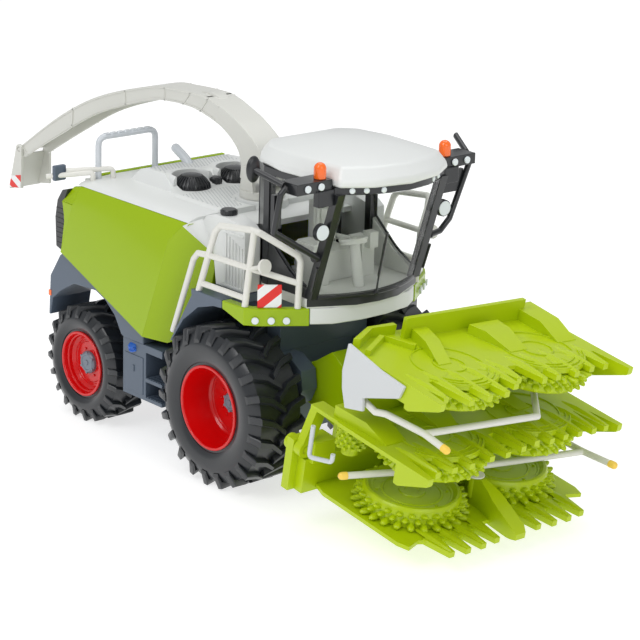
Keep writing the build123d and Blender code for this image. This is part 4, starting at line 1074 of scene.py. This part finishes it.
def knob(form, turn, h, tip_r, rise, foot):
    """A rounded knob that points outwards from a disc's side."""
    out = Vector((cos(turn), sin(turn), 0))
    across = Vector((-sin(turn), cos(turn), 0))
    # Cuts from the foot to the tip: radius, share of the thickness, share of the rise
    cuts = ((DISC_R - 1, 1.0, 0), (tip_r - 2.6, 0.9, 0.3), (tip_r - 0.7, 0.65, 0.8), (tip_r, 0.3, 1))
    rings = []
    for radius, share, lift in cuts:
        middle = out * radius + Vector((0, 0, h + rise * lift))
        size = foot * share
        wide, high = across * size * 1.3, Vector((0, 0, size))
        rings.append([middle + wide * cos(t) + high * sin(t) for t in turns(8)])
    form.skin(rings)


def header_disc():
    """A disc with rows of rounded knobs under a raised rim and a ringed bowl."""
    form = Form()
    r, rim_h, bowl_h = DISC_R, DISC_H, DISC_H - BOWL_DEPTH
    form.turned([
        (0, 0), (r, 0), (r, rim_h - 3), (r - 0.6, rim_h - 1.6), (r - 1.8, rim_h - 0.2), (r - 3.8, rim_h),
        (r - 4.6, rim_h - 0.8), (r - 6.4, rim_h - 2.4), (r - 7.6, rim_h - 2.6), (r - 8.2, rim_h - 3.3),
        (22, bowl_h + 0.2), (21.4, bowl_h + 0.7), (20.4, bowl_h + 0.7), (19.8, bowl_h), (9.6, bowl_h),
        (9, bowl_h + 0.9), (5.6, bowl_h + 0.9), (5, bowl_h + 0.3), (0, bowl_h + 0.3),
    ], sides=96)
    for row, knobs in enumerate(KNOB_ROWS):
        for turn in turns(TEETH, row * 0.5):
            knob(form, turn, *knobs)
    for turn in turns(6):
        place = (25 * cos(turn), 25 * sin(turn), bowl_h + 0.6)
        form.turned([(0, 0), (1.3, 0), (1.1, 0.8), (0, 1)], place, sides=10)
    return form


def add_disc(name, section, y, seat):
    """A disc on a section of the header; the seat holds its place u and its height h."""
    u, h = seat
    place = section @ Matrix.Translation((u, y, h))
    add(f"{name}_knobs", header_disc(), name, "header_lime", place, replaces=(name,))


def discs():
    for label, side in SIDE.items():
        add_disc(f"centre_disc_{label}", HEADER, side * DISC_Y, CENTRE_DISC)
        for end, offset in (("inner", -DISC_Y), ("outer", DISC_Y)):
            y = side * (2 * HINGE_Y + offset)
            add_disc(f"wing_{label}_disc_{end}", folded(label), y, WING_DISC)


def ridges(form, fingers, middle, side, root_u, h, rise):
    """A tapering ridge along each finger."""
    for finger_y, tip_u in fingers:
        y = middle + side * finger_y
        # Cuts along a ridge: forward place, half width, share of the rise
        cuts = (
            (root_u - 12, 3.2, 0.15), (root_u + 2, 3.6, 1), (tip_u - 3, 1.7, 0.55), (tip_u - 0.2, 1.0, 0.1),
        )
        rings = []
        for u, half, share in cuts:
            top, crest = h + rise * share, half * 0.35
            rings.append([(u, y - half, h), (u, y + half, h), (u, y + crest, top), (u, y - crest, top)])
        form.skin(rings)


def wing_plate_trim(form, centre):
    """The round web in front of a disc, with its rings and spokes, on the face that shows."""
    web = []
    for step in range(33):
        t = radians(WEB_REACH * (step / 16 - 1))
        web.append((centre.x + WEB_R * cos(t), centre.y + WEB_R * sin(t), PLATE_H + 0.05))
    form.prism(web, (0, 0, WEB_T))
    for r, width, arc in WING_RINGS:
        sweep = radians(arc)
        profile = [(r, 0), (r + width, 0), (r + width * 0.8, -RING_RISE), (r + width * 0.2, -RING_RISE)]
        form.turned(profile, centre, sides=48, start=0 if arc == 360 else -sweep / 2, sweep=sweep)
    for turn in SPOKES:
        out = Vector((cos(radians(turn)), sin(radians(turn)), 0))
        across = Vector((-out.y, out.x, 0)) * 0.5
        a, b = [centre + out * r - Vector((0, 0, 0.6)) for r in SPOKE_R]
        form.prism([a - across, b - across, b + across, a + across], (0, 0, 0.8))


def wing_ribs(label):
    side = SIDE[label]
    middle = side * 2 * HINGE_Y
    form = Form()
    for offset in (-DISC_Y, DISC_Y):
        wing_plate_trim(form, Vector((WING_DISC[0], middle + side * offset, PLATE_H + 0.3)))
    ridges(form, WING_FINGERS[label], middle, side, WING_ROOT_U, PLATE_H + 0.2, -2.4)
    add(f"wing_{label}_ribs", form, WING_BODY[label], "header_lime", folded(label), edge=0.12)


def header_fittings():
    """Ridges of the centre section, rod boss and tips, handle, and the frame's blocks and barrels."""
    centre = Form()
    ridges(centre, CENTRE_FINGERS, 0, 1, CENTRE_ROOT_U, CENTRE_TOP_H, 2.2)
    add("centre_ridges", centre, "header", "header_lime", HEADER, edge=0.12)

    boss = Form()
    boss.turned([(0, 0), (6.6, 0), (6.6, 0.7), (5.8, 1.2), (0, 1.3)], (-52, -3, 18.6), sides=40)
    add("rod_boss", boss, "header", "rail_white", HEADER)

    r = ROD_TIP_R
    tip = [(0, -3.6), (r, -3.6), (r, 0.6), (r * 0.8, 1.9), (r * 0.4, 2.7), (0, 2.9)]
    for number, (body, end, before) in enumerate(ROD_ENDS):
        axis = Vector(end) - Vector(before)
        cover = Form()
        cover.turned(tip, Vector(end) - axis.normalized() * 1.2, axis, sides=24)
        add(f"rod_tip_{number}", cover, body, "rail_white", HEADER, material=TIP_YELLOW)

    y = HANDLE_Y
    grip = Form()
    grip.tube([(-119, y, 47), (-119, y, 23), (-96, y, 30), (-96, y, 36)], 1.7, bend=4, sides=12)
    add("header_handle", grip, "header", "rail_white", HEADER, material=SILVER)

    blocks = Form()
    blocks.box(-138, -122, -92, -72, 14, 30)
    blocks.box(-140, -128, -60, -44, 15, 33)
    blocks.box(-140, -128, 44, 60, 15, 33)
    barrel = [(0, 0), (BARREL_R, 0), (BARREL_R, 3), (BARREL_R - 0.9, 4), (0, 4.2)]
    for label, side in SIDE.items():
        blocks.turned(barrel, (BARREL_U, side * HINGE_Y, FOLD_H[label]), (-1, 0, 0), sides=32)
    add("frame_blocks", blocks, "header", "header_lime", HEADER, edge=0.6)


# Floor, light and camera
def floor():
    bpy.ops.mesh.primitive_plane_add(size=FLOOR_SIZE)
    plane = bpy.context.object
    plane.name = "floor"
    paper = plastic("floor_paper", (188, 188, 188), 0.8, uneven=0.005, glow=FLOOR_GLOW)
    plane.data.materials.append(paper)


def lights():
    world = bpy.data.worlds.new("studio")
    scene.world = world
    world.use_nodes = True
    sky = world.node_tree.nodes["Background"]
    sky.inputs["Color"].default_value = SKY_COLOUR
    sky.inputs["Strength"].default_value = SKY_STRENGTH
    for name, place, size, power in LIGHTS:
        light = bpy.data.lights.new(name, "AREA")
        light.size = size
        light.energy = power
        lamp = bpy.data.objects.new(name, light)
        lamp.location = place
        lamp.rotation_euler = (LIGHTS_AIM - Vector(place)).to_track_quat("-Z", "Y").to_euler()
        scene.collection.objects.link(lamp)


def camera():
    data = bpy.data.cameras.new("camera")
    data.lens = CAMERA_LENS
    data.sensor_width = CAMERA_SENSOR
    view = bpy.data.objects.new("camera", data)
    a, e, r = CAMERA_AZIMUTH, CAMERA_ELEVATION, CAMERA_ROLL
    back = Vector((sin(a) * cos(e), -cos(a) * cos(e), sin(e)))
    right = Vector((cos(a), sin(a), 0))
    up = back.cross(right)
    rolled_right = right * cos(r) + up * sin(r)
    rolled_up = up * cos(r) - right * sin(r)
    axes = Matrix((rolled_right, rolled_up, back)).transposed()
    view.matrix_world = Matrix.Translation(CAMERA_PLACE) @ axes.to_4x4()
    scene.collection.objects.link(view)
    scene.camera = view


construction()
wheels()
for label in SIDE:
    lower_body(label)
tank_cap()
for label in SIDE:
    panel_trim(label)
filler_cap()
intakes()
hood()
rails()
spout()
cab_lamps()
windshield_trim()
cab_inside()
mirror_head()
discs()
for label in SIDE:
    wing_ribs(label)
header_fittings()
floor()
lights()
camera()
scene.view_settings.view_transform = "Standard"
